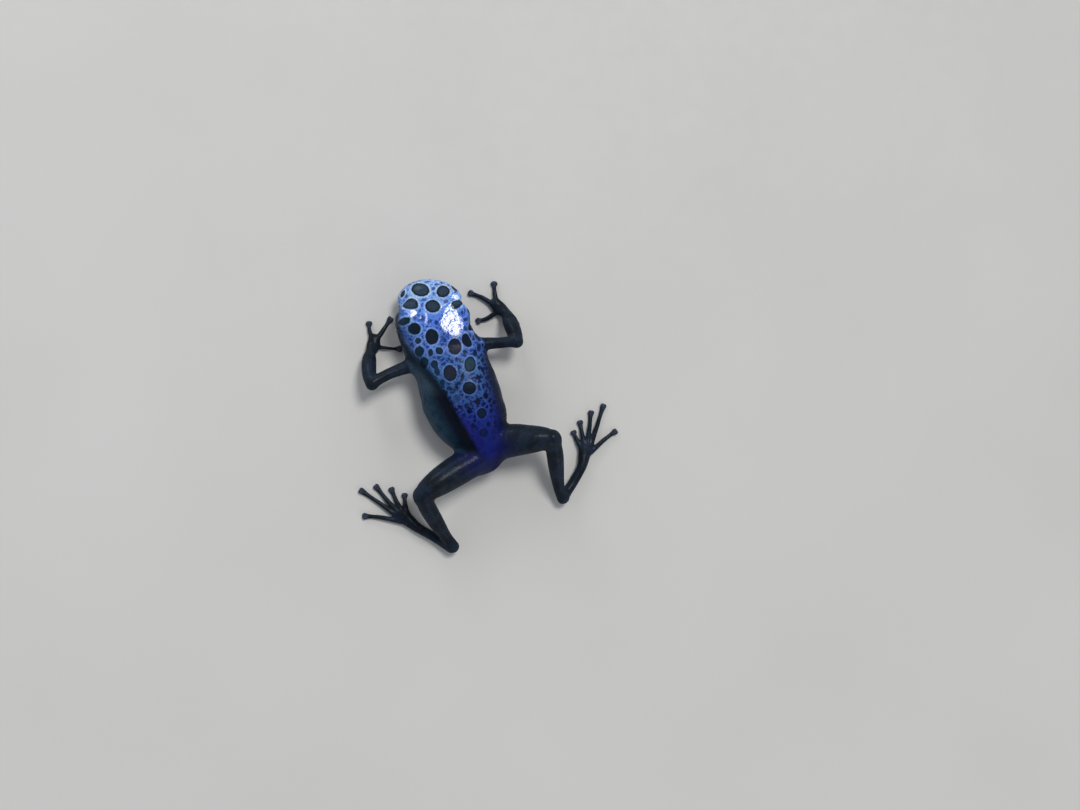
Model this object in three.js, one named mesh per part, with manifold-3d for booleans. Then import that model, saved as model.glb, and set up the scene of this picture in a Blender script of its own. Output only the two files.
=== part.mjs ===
// Blue poison dart frog: a still, life-size museum-type model, about 41 mm from snout to vent.
// Millimetres, +Z up. The belly, fingers and toes rest on the plane z = 0. The head points
// towards -Y and the frog's own left side is towards +X. The fore limbs are spread with raised
// elbows and flat hands; the thighs reach out sideways, the shanks lie back, the feet point
// forwards and outwards, and the head is turned slightly to the frog's right.
import * as THREE from 'three';
import { LoftGeometry } from 'three/addons/geometries/LoftGeometry.js';
import { mergeVertices } from 'three/addons/utils/BufferGeometryUtils.js';
import Module from 'manifold-3d';

// ---------------------------------------------------------------- driving dimensions
const GAP = 0.3; // clear space kept between neighbouring pieces
const ORIGIN = [ - 2.6, 3.84 ]; // x, y of the row origin: the middle of the footprint

const BODY_LENGTH = 40.8; // snout tip to vent
const SNOUT_Y = - 23.3;
const SNOUT_Z = 4.6; // height of the snout tip
const VENT_Z = 5.0; // height of the vent
const SNOUT_ROUND_PLAN = 6.3; // length over which the snout rounds off, seen from above
const SNOUT_ROUND_SIDE = 2.6; // and seen from the side
const VENT_ROUND = 3.8;
const ROUND_POWER = 2.2;

// Profiles along the body. Each knot is [ distance behind the snout tip, value ].
const SPINE_X = [[ 0, - 0.2 ], [ 3.2, 0.0 ], [ 5.2, 0.28 ], [ 7.4, 0.88 ], [ 10.3, 0.92 ], [ 13.3, 0.6 ], [ 16, 0.1 ], [ 19, - 0.3 ], [ 24.4, - 0.38 ], [ 27.6, - 0.62 ], [ 30.6, - 1.05 ], [ 34, - 1.3 ], [ 40.8, - 1.1 ]];
const YAW_DEG = [[ 0, 11 ], [ 10.5, 11 ], [ 14, 4 ], [ 18.5, - 4 ], [ 28, - 4 ], [ 35, - 1 ], [ 40.8, 0 ]];
const HALF_WIDTH = [[ 0, 6.6 ], [ 2.5, 6.95 ], [ 5, 6.3 ], [ 7, 6.5 ], [ 10, 7.4 ], [ 13.3, 7.6 ], [ 16, 7.65 ], [ 19, 7.55 ], [ 24.4, 8.0 ], [ 27.6, 7.75 ], [ 30.6, 7.2 ], [ 32.2, 6.55 ], [ 34.2, 5.4 ], [ 36.5, 4.7 ], [ 40.8, 4.2 ]];
const TOP_Z = [[ 0, 7.1 ], [ 3, 7.9 ], [ 5, 8.6 ], [ 7, 9.2 ], [ 10, 9.7 ], [ 13, 10.2 ], [ 16, 10.8 ], [ 20, 11.6 ], [ 24, 12.3 ], [ 27, 12.3 ], [ 30, 11.6 ], [ 33, 10.2 ], [ 36, 8.6 ], [ 38.5, 7.5 ], [ 40.8, 6.6 ]];
const BOTTOM_Z = [[ 0, 2.6 ], [ 3, 2.4 ], [ 6, 2.2 ], [ 9, 1.9 ], [ 12, 1.4 ], [ 15, 0.7 ], [ 17.5, 0.05 ], [ 19.5, - 0.3 ], [ 33, - 0.3 ], [ 35.5, 0.1 ], [ 37.5, 1.0 ], [ 40.8, 2.8 ]];
const SIDE_Z = [[ 0, 4.3 ], [ 7, 4.1 ], [ 13, 4.6 ], [ 20, 5.0 ], [ 30, 5.0 ], [ 36, 5.2 ], [ 40.8, 5.0 ]]; // height of the widest line
const TOP_POWER = [[ 0, 2.1 ], [ 7, 2.25 ], [ 12, 2.3 ], [ 25, 2.2 ], [ 40.8, 2.05 ]];
const BOTTOM_POWER = [[ 0, 2.4 ], [ 12, 2.4 ], [ 20, 2.6 ], [ 33, 2.6 ], [ 40.8, 2.2 ]];
const LEAN = [[ 0, 0 ], [ 14, 0 ], [ 26, - 0.5 ], [ 40.8, - 0.9 ]]; // the crown of the back leans to the right behind
const BODY_RINGS = 28;
const BODY_SIDES = 26;

const MOUTH_Z = 3.75; // height of the mouth line
const MOUTH_LENGTH = 10.9; // snout tip to the corner of the mouth
const NECK_S = 14.0; // the head ends here

// Eyes, in the head's own frame: distance behind the snout tip, distance out from the middle, height.
const EYE = { s: 7.9, lat: 5.25, z: 7.2, radius: 2.2 };
const LID = { s: 7.85, lat: 4.6, z: 7.45, along: 3.2, across: 2.45, high: 2.85 };

// Limbs: each station is [ x, y, z, half width, half height ].
const LIMBS = {
	upper_arm_left: [[ 5.4, - 7.7, 5.0, 1.7, 1.7 ], [ 8.4, - 7.45, 5.2, 1.35, 1.35 ], [ 12.2, - 7.1, 5.6, 1.12, 1.12 ], [ 15.7, - 6.35, 5.9, 1.15, 1.15 ]],
	upper_arm_right: [[ - 5.2, - 7.9, 5.0, 1.7, 1.7 ], [ - 8.0, - 7.6, 5.2, 1.3, 1.3 ], [ - 11.2, - 6.9, 5.6, 1.1, 1.1 ], [ - 14.0, - 6.4, 5.9, 1.15, 1.15 ]],
	forearm_left: [[ 16.1, - 6.05, 5.75, 1.2, 1.2 ], [ 16.0, - 7.8, 4.9, 1.4, 1.35 ], [ 15.5, - 9.7, 3.7, 1.5, 1.35 ], [ 14.9, - 11.2, 2.6, 1.4, 1.15 ], [ 14.25, - 12.3, 1.75, 1.1, 0.95 ]],
	forearm_right: [[ - 14.4, - 6.2, 5.75, 1.2, 1.2 ], [ - 14.5, - 7.8, 4.9, 1.5, 1.4 ], [ - 14.55, - 9.6, 3.7, 1.6, 1.4 ], [ - 14.6, - 11.2, 2.6, 1.4, 1.15 ], [ - 14.45, - 12.4, 1.75, 1.1, 0.95 ]],
	hand_left: [[ 14.0, - 12.6, 1.35, 1.0, 0.9 ], [ 13.25, - 13.6, 0.95, 1.35, 0.85 ], [ 12.75, - 14.7, 0.8, 1.2, 0.7 ]],
	hand_right: [[ - 14.3, - 12.7, 1.35, 1.0, 0.9 ], [ - 13.7, - 13.8, 0.95, 1.35, 0.85 ], [ - 13.1, - 15.0, 0.8, 1.2, 0.7 ]],
	thigh_left: [[ - 0.2, 14.0, 5.6, 3.1, 3.3 ], [ 4.9, 15.2, 6.5, 3.1, 3.1 ], [ 8.7, 16.2, 7.6, 2.8, 2.75 ], [ 11.6, 17.1, 8.3, 2.25, 2.2 ], [ 12.95, 17.6, 8.5, 1.75, 1.7 ]],
	thigh_right: [[ - 2.0, 12.4, 5.6, 3.2, 3.3 ], [ - 7.1, 12.5, 6.6, 3.35, 3.2 ], [ - 10.9, 13.3, 7.7, 2.9, 2.85 ], [ - 13.9, 14.0, 8.5, 2.3, 2.25 ], [ - 15.2, 14.3, 8.7, 1.75, 1.7 ]],
	shank_left: [[ 12.95, 18.4, 8.1, 1.65, 1.6 ], [ 12.3, 21.2, 6.6, 1.72, 1.68 ], [ 11.4, 24.2, 4.9, 1.55, 1.45 ], [ 10.3, 27.4, 3.1, 1.18, 1.12 ], [ 9.3, 29.9, 2.0, 1.2, 1.15 ]],
	shank_right: [[ - 15.2, 15.2, 8.3, 1.65, 1.6 ], [ - 15.1, 18.0, 6.8, 1.72, 1.68 ], [ - 14.85, 21.0, 5.1, 1.55, 1.45 ], [ - 14.7, 24.4, 3.2, 1.2, 1.12 ], [ - 15.0, 27.1, 2.0, 1.2, 1.15 ]],
	tarsus_left: [[ 9.9, 29.9, 1.75, 1.05, 1.0 ], [ 12.4, 27.0, 1.25, 0.98, 0.85 ], [ 14.9, 24.4, 1.05, 1.0, 0.85 ]],
	tarsus_right: [[ - 15.4, 26.8, 1.75, 1.05, 1.0 ], [ - 18.3, 24.5, 1.25, 0.98, 0.85 ], [ - 20.8, 22.1, 1.05, 1.0, 0.85 ]],
	foot_left: [[ 15.3, 23.9, 0.98, 0.95, 0.8 ], [ 16.4, 22.3, 0.85, 1.3, 0.72 ], [ 17.6, 20.6, 0.72, 1.6, 0.6 ]],
	foot_right: [[ - 21.1, 21.7, 0.98, 0.95, 0.8 ], [ - 22.1, 19.9, 0.85, 1.3, 0.72 ], [ - 23.1, 18.2, 0.72, 1.6, 0.6 ]],
};

// Fingers and toes: [ root, middle, tip ] in plan, from the inside of the palm or sole outwards.
const DIGITS = {
	finger_1_left: [[ 13.7, - 12.9 ], [ 14.25, - 11.2 ], [ 14.45, - 9.9 ]],
	finger_2_left: [[ 12.9, - 13.3 ], [ 10.3, - 12.15 ], [ 8.3, - 11.5 ]],
	finger_3_left: [[ 12.7, - 14.2 ], [ 10.5, - 16.0 ], [ 8.4, - 17.8 ]],
	finger_4_left: [[ 12.95, - 14.4 ], [ 13.15, - 16.5 ], [ 12.8, - 18.1 ]],
	finger_1_right: [[ - 14.0, - 13.1 ], [ - 14.6, - 11.4 ], [ - 14.7, - 10.0 ]],
	finger_2_right: [[ - 13.2, - 13.4 ], [ - 10.7, - 12.6 ], [ - 8.7, - 12.6 ]],
	finger_3_right: [[ - 12.9, - 14.6 ], [ - 10.9, - 16.9 ], [ - 8.8, - 18.5 ]],
	finger_4_right: [[ - 13.3, - 14.8 ], [ - 13.6, - 17.1 ], [ - 14.05, - 19.0 ]],
	toe_1_left: [[ 16.3, 21.4 ], [ 16.1, 19.0 ], [ 15.7, 17.2 ]],
	toe_2_left: [[ 16.8, 21.3 ], [ 17.6, 18.0 ], [ 17.9, 15.3 ]],
	toe_3_left: [[ 17.3, 21.4 ], [ 19.2, 17.5 ], [ 20.7, 13.9 ]],
	toe_4_left: [[ 17.7, 21.6 ], [ 20.8, 17.5 ], [ 23.8, 13.8 ]],
	toe_5_left: [[ 18.0, 22.0 ], [ 21.5, 20.1 ], [ 24.6, 18.9 ]],
	toe_1_right: [[ - 21.9, 18.9 ], [ - 21.5, 16.6 ], [ - 21.3, 14.9 ]],
	toe_2_right: [[ - 22.4, 18.8 ], [ - 22.9, 15.8 ], [ - 23.2, 13.3 ]],
	toe_3_right: [[ - 22.9, 19.0 ], [ - 24.6, 15.3 ], [ - 26.0, 12.0 ]],
	toe_4_right: [[ - 23.3, 19.3 ], [ - 26.2, 15.3 ], [ - 28.9, 11.4 ]],
	toe_5_right: [[ - 23.6, 19.8 ], [ - 26.9, 18.2 ], [ - 29.8, 17.2 ]],
};
// The shape of one digit along its length: [ share of the length, half width, half height, height of its middle ].
const DIGIT_SHAPE = [[ 0, 0.55, 0.5, 0.78 ], [ 0.25, 0.5, 0.46, 0.74 ], [ 0.5, 0.46, 0.43, 0.62 ], [ 0.72, 0.4, 0.4, 0.48 ], [ 0.86, 0.46, 0.36, 0.34 ], [ 0.96, 0.6, 0.34, 0.3 ], [ 1.0, 0.6, 0.33, 0.29 ]];

// ---------------------------------------------------------------- colours and finishes
const FINISH = {
	back: { color: 0x4f7fe0, roughness: 0.3, metalness: 0 },
	trunk: { color: 0x2c48a8, roughness: 0.3, metalness: 0 },
	limb: { color: 0x1c2636, roughness: 0.32, metalness: 0 },
	digit: { color: 0x20262f, roughness: 0.35, metalness: 0 },
	eye: { color: 0x080a0d, roughness: 0.08, metalness: 0 },
};

// ---------------------------------------------------------------- curves
// A smooth curve through knots that never overshoots them.
function profile( knots ) {

	const n = knots.length, x = knots.map( k => k[ 0 ] ), y = knots.map( k => k[ 1 ] );
	const slope = [], m = new Array( n ).fill( 0 );
	for ( let i = 0; i < n - 1; i ++ ) slope.push( ( y[ i + 1 ] - y[ i ] ) / ( x[ i + 1 ] - x[ i ] ) );
	m[ 0 ] = slope[ 0 ];
	m[ n - 1 ] = slope[ n - 2 ];
	for ( let i = 1; i < n - 1; i ++ ) {

		const a = slope[ i - 1 ], b = slope[ i ], h0 = x[ i ] - x[ i - 1 ], h1 = x[ i + 1 ] - x[ i ];
		if ( a * b > 0 ) m[ i ] = ( 3 * ( h0 + h1 ) ) / ( ( 2 * h1 + h0 ) / a + ( h1 + 2 * h0 ) / b );

	}

	return s => {

		if ( s <= x[ 0 ] ) return y[ 0 ];
		if ( s >= x[ n - 1 ] ) return y[ n - 1 ];
		let i = 0;
		while ( s > x[ i + 1 ] ) i ++;
		const h = x[ i + 1 ] - x[ i ], t = ( s - x[ i ] ) / h, u = 1 - t;
		return y[ i ] * u * u * ( 1 + 2 * t ) + m[ i ] * h * t * u * u + y[ i + 1 ] * t * t * ( 3 - 2 * t ) - m[ i + 1 ] * h * t * t * u;

	};

}

// A Catmull-Rom curve through rows of numbers, t from 0 to 1.
function spline( rows, t ) {

	const n = rows.length - 1, p = Math.min( Math.max( t, 0 ), 1 ) * n;
	const i = Math.min( Math.floor( p ), n - 1 ), u = p - i;
	return rows[ 0 ].map( ( _, k ) => {

		const b = rows[ i ][ k ], c = rows[ i + 1 ][ k ];
		const a = i > 0 ? rows[ i - 1 ][ k ] : 2 * b - c;
		const d = i < n - 1 ? rows[ i + 2 ][ k ] : 2 * c - b;
		const m0 = ( c - a ) / 2, m1 = ( d - b ) / 2;
		return b + m0 * u + ( - 3 * b + 3 * c - 2 * m0 - m1 ) * u * u + ( 2 * b - 2 * c + m0 + m1 ) * u * u * u;

	} );

}

const roundOff = ( s, length ) => s >= length ? 1 : Math.pow( 1 - Math.pow( 1 - Math.max( s, 0 ) / length, ROUND_POWER ), 1 / ROUND_POWER );
const power = ( v, p ) => Math.sign( v ) * Math.pow( Math.abs( v ), p );

// ---------------------------------------------------------------- the body's surface
const body = {
	x: profile( SPINE_X ), yaw: profile( YAW_DEG ), wide: profile( HALF_WIDTH ), top: profile( TOP_Z ), bottom: profile( BOTTOM_Z ),
	side: profile( SIDE_Z ), topPower: profile( TOP_POWER ), bottomPower: profile( BOTTOM_POWER ), lean: profile( LEAN ),
};

// The body's frame at s behind the snout tip: its middle, its left-hand direction and its heading.
function station( s ) {

	const yaw = THREE.MathUtils.degToRad( body.yaw( s ) );
	return { x: body.x( s ), y: SNOUT_Y + s, left: new THREE.Vector3( Math.cos( yaw ), - Math.sin( yaw ), 0 ), yaw };

}

// One section of the body, grown outwards by grow.
function bodySection( s, grow ) {

	const f = station( s );
	const front = roundOff( s, SNOUT_ROUND_PLAN ), low = roundOff( s, SNOUT_ROUND_SIDE ), rear = roundOff( BODY_LENGTH - s, VENT_ROUND );
	const ends = Math.min( low, rear );
	const tip = s < BODY_LENGTH / 2 ? SNOUT_Z : VENT_Z;
	const half = body.wide( s ) * front * rear + grow;
	const side = tip + ( body.side( s ) - tip ) * ends;
	const top = tip + ( body.top( s ) - tip ) * ends + grow;
	const bottom = tip + ( body.bottom( s ) - tip ) * ends - grow;
	const tp = 2 / body.topPower( s ), bp = 2 / body.bottomPower( s ), lean = body.lean( s );
	const ring = [];
	for ( let j = 0; j < BODY_SIDES; j ++ ) {

		const a = j / BODY_SIDES * Math.PI * 2, c = Math.cos( a ), n = Math.sin( a );
		const p = n >= 0 ? tp : bp;
		const z = n >= 0 ? side + ( top - side ) * power( n, p ) : side + ( side - bottom ) * power( n, p );
		const across = half * power( c, p ) + lean * Math.max( 0, ( z - side ) / ( top - side ) ) ** 2;
		ring.push( new THREE.Vector3( f.x + f.left.x * across, f.y + f.left.y * across, grow ? z : Math.max( z, 0 ) ) );

	}

	return ring;

}

function bodySolid( grow = 0 ) {

	const sections = [];
	for ( let i = BODY_RINGS; i >= 0; i -- ) {

		const u = i / BODY_RINGS, ease = 0.5 - 0.5 * Math.cos( Math.PI * u );
		const s = ( 0.45 * u + 0.55 * ease ) * BODY_LENGTH;
		sections.push( bodySection( Math.min( Math.max( s, 0.02 ), BODY_LENGTH - 0.02 ), grow ) );

	}

	if ( grow ) { // the grown body also covers its ends

		for ( const p of sections[ 0 ] ) p.y += grow;
		for ( const p of sections[ sections.length - 1 ] ) p.y -= grow;

	}

	return solid( new LoftGeometry( sections, { capStart: true, capEnd: true } ) );

}

// ---------------------------------------------------------------- limbs and digits
// A limb through its stations, with round ends, grown outwards by grow.
function limbGeometry( stations, { rings = 6, sides = 10, grow = 0, roundness = 1 } = {} ) {

	const up = new THREE.Vector3( 0, 0, 1 ), sections = [];
	const at = t => {

		const v = spline( stations, t );
		return { p: new THREE.Vector3( v[ 0 ], v[ 1 ], v[ 2 ] ), w: v[ 3 ] + grow, h: v[ 4 ] + grow };

	};

	const ring = ( p, w, h, along ) => {

		const side = new THREE.Vector3().crossVectors( up, along ).normalize();
		const top = new THREE.Vector3().crossVectors( along, side ).normalize();
		const points = [];
		for ( let j = 0; j < sides; j ++ ) {

			const a = ( j + 0.5 ) / sides * Math.PI * 2;
			const q = p.clone().addScaledVector( side, w * Math.cos( a ) ).addScaledVector( top, h * Math.sin( a ) );
			if ( ! grow ) q.z = Math.max( q.z, 0 );
			points.push( q );

		}

		return points;

	};

	const direction = t => at( Math.min( t + 0.01, 1 ) ).p.sub( at( Math.max( t - 0.01, 0 ) ).p ).normalize();
	const steps = [ 0.92, 0.55 ];
	const first = at( 0 ), last = at( 1 ), d0 = direction( 0 ), d1 = direction( 1 );
	for ( const k of steps ) sections.push( ring( first.p.clone().addScaledVector( d0, - k * first.w * roundness ), first.w * Math.sqrt( 1 - k * k ), first.h * Math.sqrt( 1 - k * k ), d0 ) );
	for ( let i = 0; i <= rings; i ++ ) {

		const t = i / rings, c = at( t );
		sections.push( ring( c.p, c.w, c.h, direction( t ) ) );

	}

	for ( const k of steps.slice().reverse() ) sections.push( ring( last.p.clone().addScaledVector( d1, k * last.w * roundness ), last.w * Math.sqrt( 1 - k * k ), last.h * Math.sqrt( 1 - k * k ), d1 ) );
	return new LoftGeometry( sections, { capStart: true, capEnd: true } );

}

// The stations of a digit, from its plan and the common shape.
function digitStations( [ root, middle, tip ] ) {

	return DIGIT_SHAPE.map( ( [ share, w, h, z ] ) => {

		const [ x, y ] = spline( [ root, middle, tip ], share );
		return [ x, y, z, w, h ];

	} );

}

// ---------------------------------------------------------------- joining and cutting
const wasm = await Module();
wasm.setup();

function solid( geometry ) {

	const bare = new THREE.BufferGeometry(); // position only, so that the seams close
	bare.setAttribute( 'position', geometry.getAttribute( 'position' ) );
	if ( geometry.index ) bare.setIndex( geometry.index );
	const merged = mergeVertices( bare, 1e-4 );
	return new wasm.Manifold( new wasm.Mesh( {
		numProp: 3,
		vertProperties: new Float32Array( merged.attributes.position.array ),
		triVerts: new Uint32Array( merged.index.array ),
	} ) );

}

function geometryOf( manifold ) {

	const { vertProperties, triVerts } = manifold.getMesh();
	const g = new THREE.BufferGeometry();
	g.setAttribute( 'position', new THREE.BufferAttribute( new Float32Array( vertProperties ), 3 ) );
	g.setIndex( new THREE.BufferAttribute( new Uint32Array( triVerts ), 1 ) );
	g.computeVertexNormals();
	return g;

}

// A box from s0 to s1 along the body, square to the body's heading at s, and from z0 to z1 in height.
function boxAcross( s, s0, s1, z0, z1, wide = 30 ) {

	const f = station( s ), g = new THREE.BoxGeometry( wide, s1 - s0, z1 - z0 );
	g.translate( 0, ( s0 + s1 ) / 2 - s, ( z0 + z1 ) / 2 );
	g.rotateZ( - f.yaw );
	g.translate( f.x, f.y, 0 );
	return solid( g );

}

// A ball or ellipsoid in the head's frame; side is 1 for the left and -1 for the right.
function headBall( { s, lat, z }, side, along, across, high, widthSegments = 20, heightSegments = 14 ) {

	const f = station( s ), g = new THREE.SphereGeometry( 1, widthSegments, heightSegments );
	g.rotateZ( Math.PI / 2 ); // its poles point sideways
	g.scale( across, along, high );
	g.rotateZ( - f.yaw );
	g.translate( f.x + f.left.x * lat * side, f.y + f.left.y * lat * side, z );
	return g;

}

// ---------------------------------------------------------------- the pieces
const pieces = {};
const whole = bodySolid();
const grownBody = bodySolid( GAP );

const neckFront = boxAcross( NECK_S, - 20, NECK_S - GAP / 2, - 1, 20 );
const neckBack = boxAcross( NECK_S, NECK_S + GAP / 2, 60, - 1, 20, 60 );
let head = whole.intersect( neckFront );
for ( const side of [ 1, - 1 ] ) head = head.add( solid( headBall( LID, side, LID.along, LID.across, LID.high, 14, 8 ) ) );
const grownEye = side => solid( headBall( EYE, side, EYE.radius + GAP, EYE.radius + GAP, EYE.radius + GAP, 14, 10 ) );
for ( const side of [ 1, - 1 ] ) head = head.subtract( grownEye( side ) );
pieces.head = head.subtract( boxAcross( 0, - 5, MOUTH_LENGTH, - 1, MOUTH_Z + GAP / 2 ) );
pieces.lower_jaw = whole.intersect( boxAcross( 0, - 5, MOUTH_LENGTH - GAP, - 1, MOUTH_Z - GAP / 2 ) );
pieces.trunk = whole.intersect( neckBack );

const eyeGeometry = side => headBall( EYE, side, EYE.radius, EYE.radius, EYE.radius, 14, 10 );
pieces.eye_left = solid( eyeGeometry( 1 ) );
pieces.eye_right = solid( eyeGeometry( - 1 ) );

for ( const side of [ 'left', 'right' ] ) {

	const limb = ( name, options ) => solid( limbGeometry( LIMBS[ `${name}_${side}` ], options ) );
	const grown = ( name, options = {} ) => solid( limbGeometry( LIMBS[ `${name}_${side}` ], { ...options, grow: GAP } ) );
	const forearm = grown( 'forearm' ), hand = grown( 'hand', { rings: 5 } ), thigh = grown( 'thigh' ), shank = grown( 'shank' ), tarsus = grown( 'tarsus', { rings: 5 } ), foot = grown( 'foot', { rings: 5 } );

	pieces[ `upper_arm_${side}` ] = limb( 'upper_arm', { rings: 6 } ).subtract( grownBody ).subtract( forearm );
	pieces[ `forearm_${side}` ] = limb( 'forearm' );
	pieces[ `hand_${side}` ] = limb( 'hand', { rings: 5 } ).subtract( forearm );
	pieces[ `thigh_${side}` ] = limb( 'thigh', { rings: 7, sides: 12 } ).subtract( grownBody );
	pieces[ `shank_${side}` ] = limb( 'shank', { rings: 6, sides: 10 } ).subtract( thigh );
	pieces[ `tarsus_${side}` ] = limb( 'tarsus', { rings: 5 } ).subtract( shank );
	pieces[ `foot_${side}` ] = limb( 'foot', { rings: 5 } ).subtract( tarsus );

	// Each digit starts inside the palm or sole, which is cut away from it, and so is its neighbour.
	const digits = [ [ 'finger', 4, hand, forearm ], [ 'toe', 5, foot, tarsus ] ];
	for ( const [ kind, count, base, behind ] of digits ) {

		let taken = base.add( behind );
		const order = kind === 'toe' ? [ 4, 3, 5, 2, 1 ] : [ 3, 4, 2, 1 ];
		for ( const number of order.slice( 0, count ) ) {

			const name = `${kind}_${number}_${side}`, stations = digitStations( DIGITS[ name ] );
			const options = { rings: 5, sides: 7, roundness: 0.8 };
			pieces[ name ] = solid( limbGeometry( stations, options ) ).subtract( taken );
			taken = taken.add( solid( limbGeometry( stations, { ...options, grow: GAP } ) ) );

		}

	}

}

// ---------------------------------------------------------------- the model
function finishOf( name ) {

	if ( name.startsWith( 'eye' ) ) return FINISH.eye;
	if ( name === 'head' ) return FINISH.back;
	if ( name === 'trunk' ) return FINISH.trunk;
	if ( name.startsWith( 'finger' ) || name.startsWith( 'toe' ) ) return FINISH.digit;
	return FINISH.limb;

}

const frog = new THREE.Group();
for ( const [ name, piece ] of Object.entries( pieces ) ) {

	const parts = piece.decompose();
	let main = parts[ 0 ];
	for ( const part of parts ) if ( part.volume() > main.volume() ) main = part;
	const mesh = new THREE.Mesh( geometryOf( main ), new THREE.MeshStandardMaterial( finishOf( name ) ) );
	mesh.name = name;
	frog.add( mesh );

}

frog.position.set( - ORIGIN[ 0 ], - ORIGIN[ 1 ], 0 );
frog.updateMatrixWorld( true );

export default frog;
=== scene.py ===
import math

import bpy
import numpy as np
import openvdb as vdb
from mathutils import Matrix, Vector
from mathutils.bvhtree import BVHTree


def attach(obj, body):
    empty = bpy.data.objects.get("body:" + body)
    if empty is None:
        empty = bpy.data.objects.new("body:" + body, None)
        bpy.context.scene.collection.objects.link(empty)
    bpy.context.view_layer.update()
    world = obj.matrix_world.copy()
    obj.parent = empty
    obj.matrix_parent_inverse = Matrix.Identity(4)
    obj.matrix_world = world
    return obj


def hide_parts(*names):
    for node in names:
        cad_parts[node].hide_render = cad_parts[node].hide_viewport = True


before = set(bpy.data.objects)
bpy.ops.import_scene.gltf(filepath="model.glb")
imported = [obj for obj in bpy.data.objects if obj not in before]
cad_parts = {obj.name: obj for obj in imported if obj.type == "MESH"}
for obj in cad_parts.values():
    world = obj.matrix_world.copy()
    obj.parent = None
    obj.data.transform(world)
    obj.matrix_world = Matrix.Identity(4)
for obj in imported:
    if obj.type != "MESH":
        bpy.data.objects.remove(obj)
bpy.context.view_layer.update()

# ---------------------------------------------------------------- sizes shared with the solids
ORIGIN = np.array([-2.6, 3.84, 0.0])
BODY_LENGTH, SNOUT_Y, SNOUT_Z, VENT_Z = 40.8, -23.3, 4.6, 5.0
SNOUT_ROUND_PLAN, SNOUT_ROUND_SIDE, VENT_ROUND, ROUND_POWER = 6.3, 2.6, 3.8, 2.2
SPINE_X = [(0, -0.2), (3.2, 0.0), (5.2, 0.28), (7.4, 0.88), (10.3, 0.92), (13.3, 0.6), (16, 0.1), (19, -0.3), (24.4, -0.38), (27.6, -0.62), (30.6, -1.05), (34, -1.3), (40.8, -1.1)]
YAW_DEG = [(0, 11), (10.5, 11), (14, 4), (18.5, -4), (28, -4), (35, -1), (40.8, 0)]
HALF_WIDTH = [(0, 6.6), (2.5, 6.95), (5, 6.3), (7, 6.5), (10, 7.4), (13.3, 7.6), (16, 7.65), (19, 7.55), (24.4, 8.0), (27.6, 7.75), (30.6, 7.2), (32.2, 6.55), (34.2, 5.4), (36.5, 4.7), (40.8, 4.2)]
TOP_Z = [(0, 7.1), (3, 7.9), (5, 8.6), (7, 9.2), (10, 9.7), (13, 10.2), (16, 10.8), (20, 11.6), (24, 12.3), (27, 12.3), (30, 11.6), (33, 10.2), (36, 8.6), (38.5, 7.5), (40.8, 6.6)]
BOTTOM_Z = [(0, 2.6), (3, 2.4), (6, 2.2), (9, 1.9), (12, 1.4), (15, 0.7), (17.5, 0.05), (19.5, -0.3), (33, -0.3), (35.5, 0.1), (37.5, 1.0), (40.8, 2.8)]
SIDE_Z = [(0, 4.3), (7, 4.1), (13, 4.6), (20, 5.0), (30, 5.0), (36, 5.2), (40.8, 5.0)]
TOP_POWER = [(0, 2.1), (7, 2.25), (12, 2.3), (25, 2.2), (40.8, 2.05)]
BOTTOM_POWER = [(0, 2.4), (12, 2.4), (20, 2.6), (33, 2.6), (40.8, 2.2)]
LEAN = [(0, 0), (14, 0), (26, -0.5), (40.8, -0.9)]
MOUTH_Z, MOUTH_LENGTH = 3.75, 10.9
EYE = dict(s=7.9, lat=5.25, z=7.2, radius=2.2)
LID = dict(s=7.85, lat=4.6, z=7.45, along=3.1, across=2.45, high=2.75)
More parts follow.
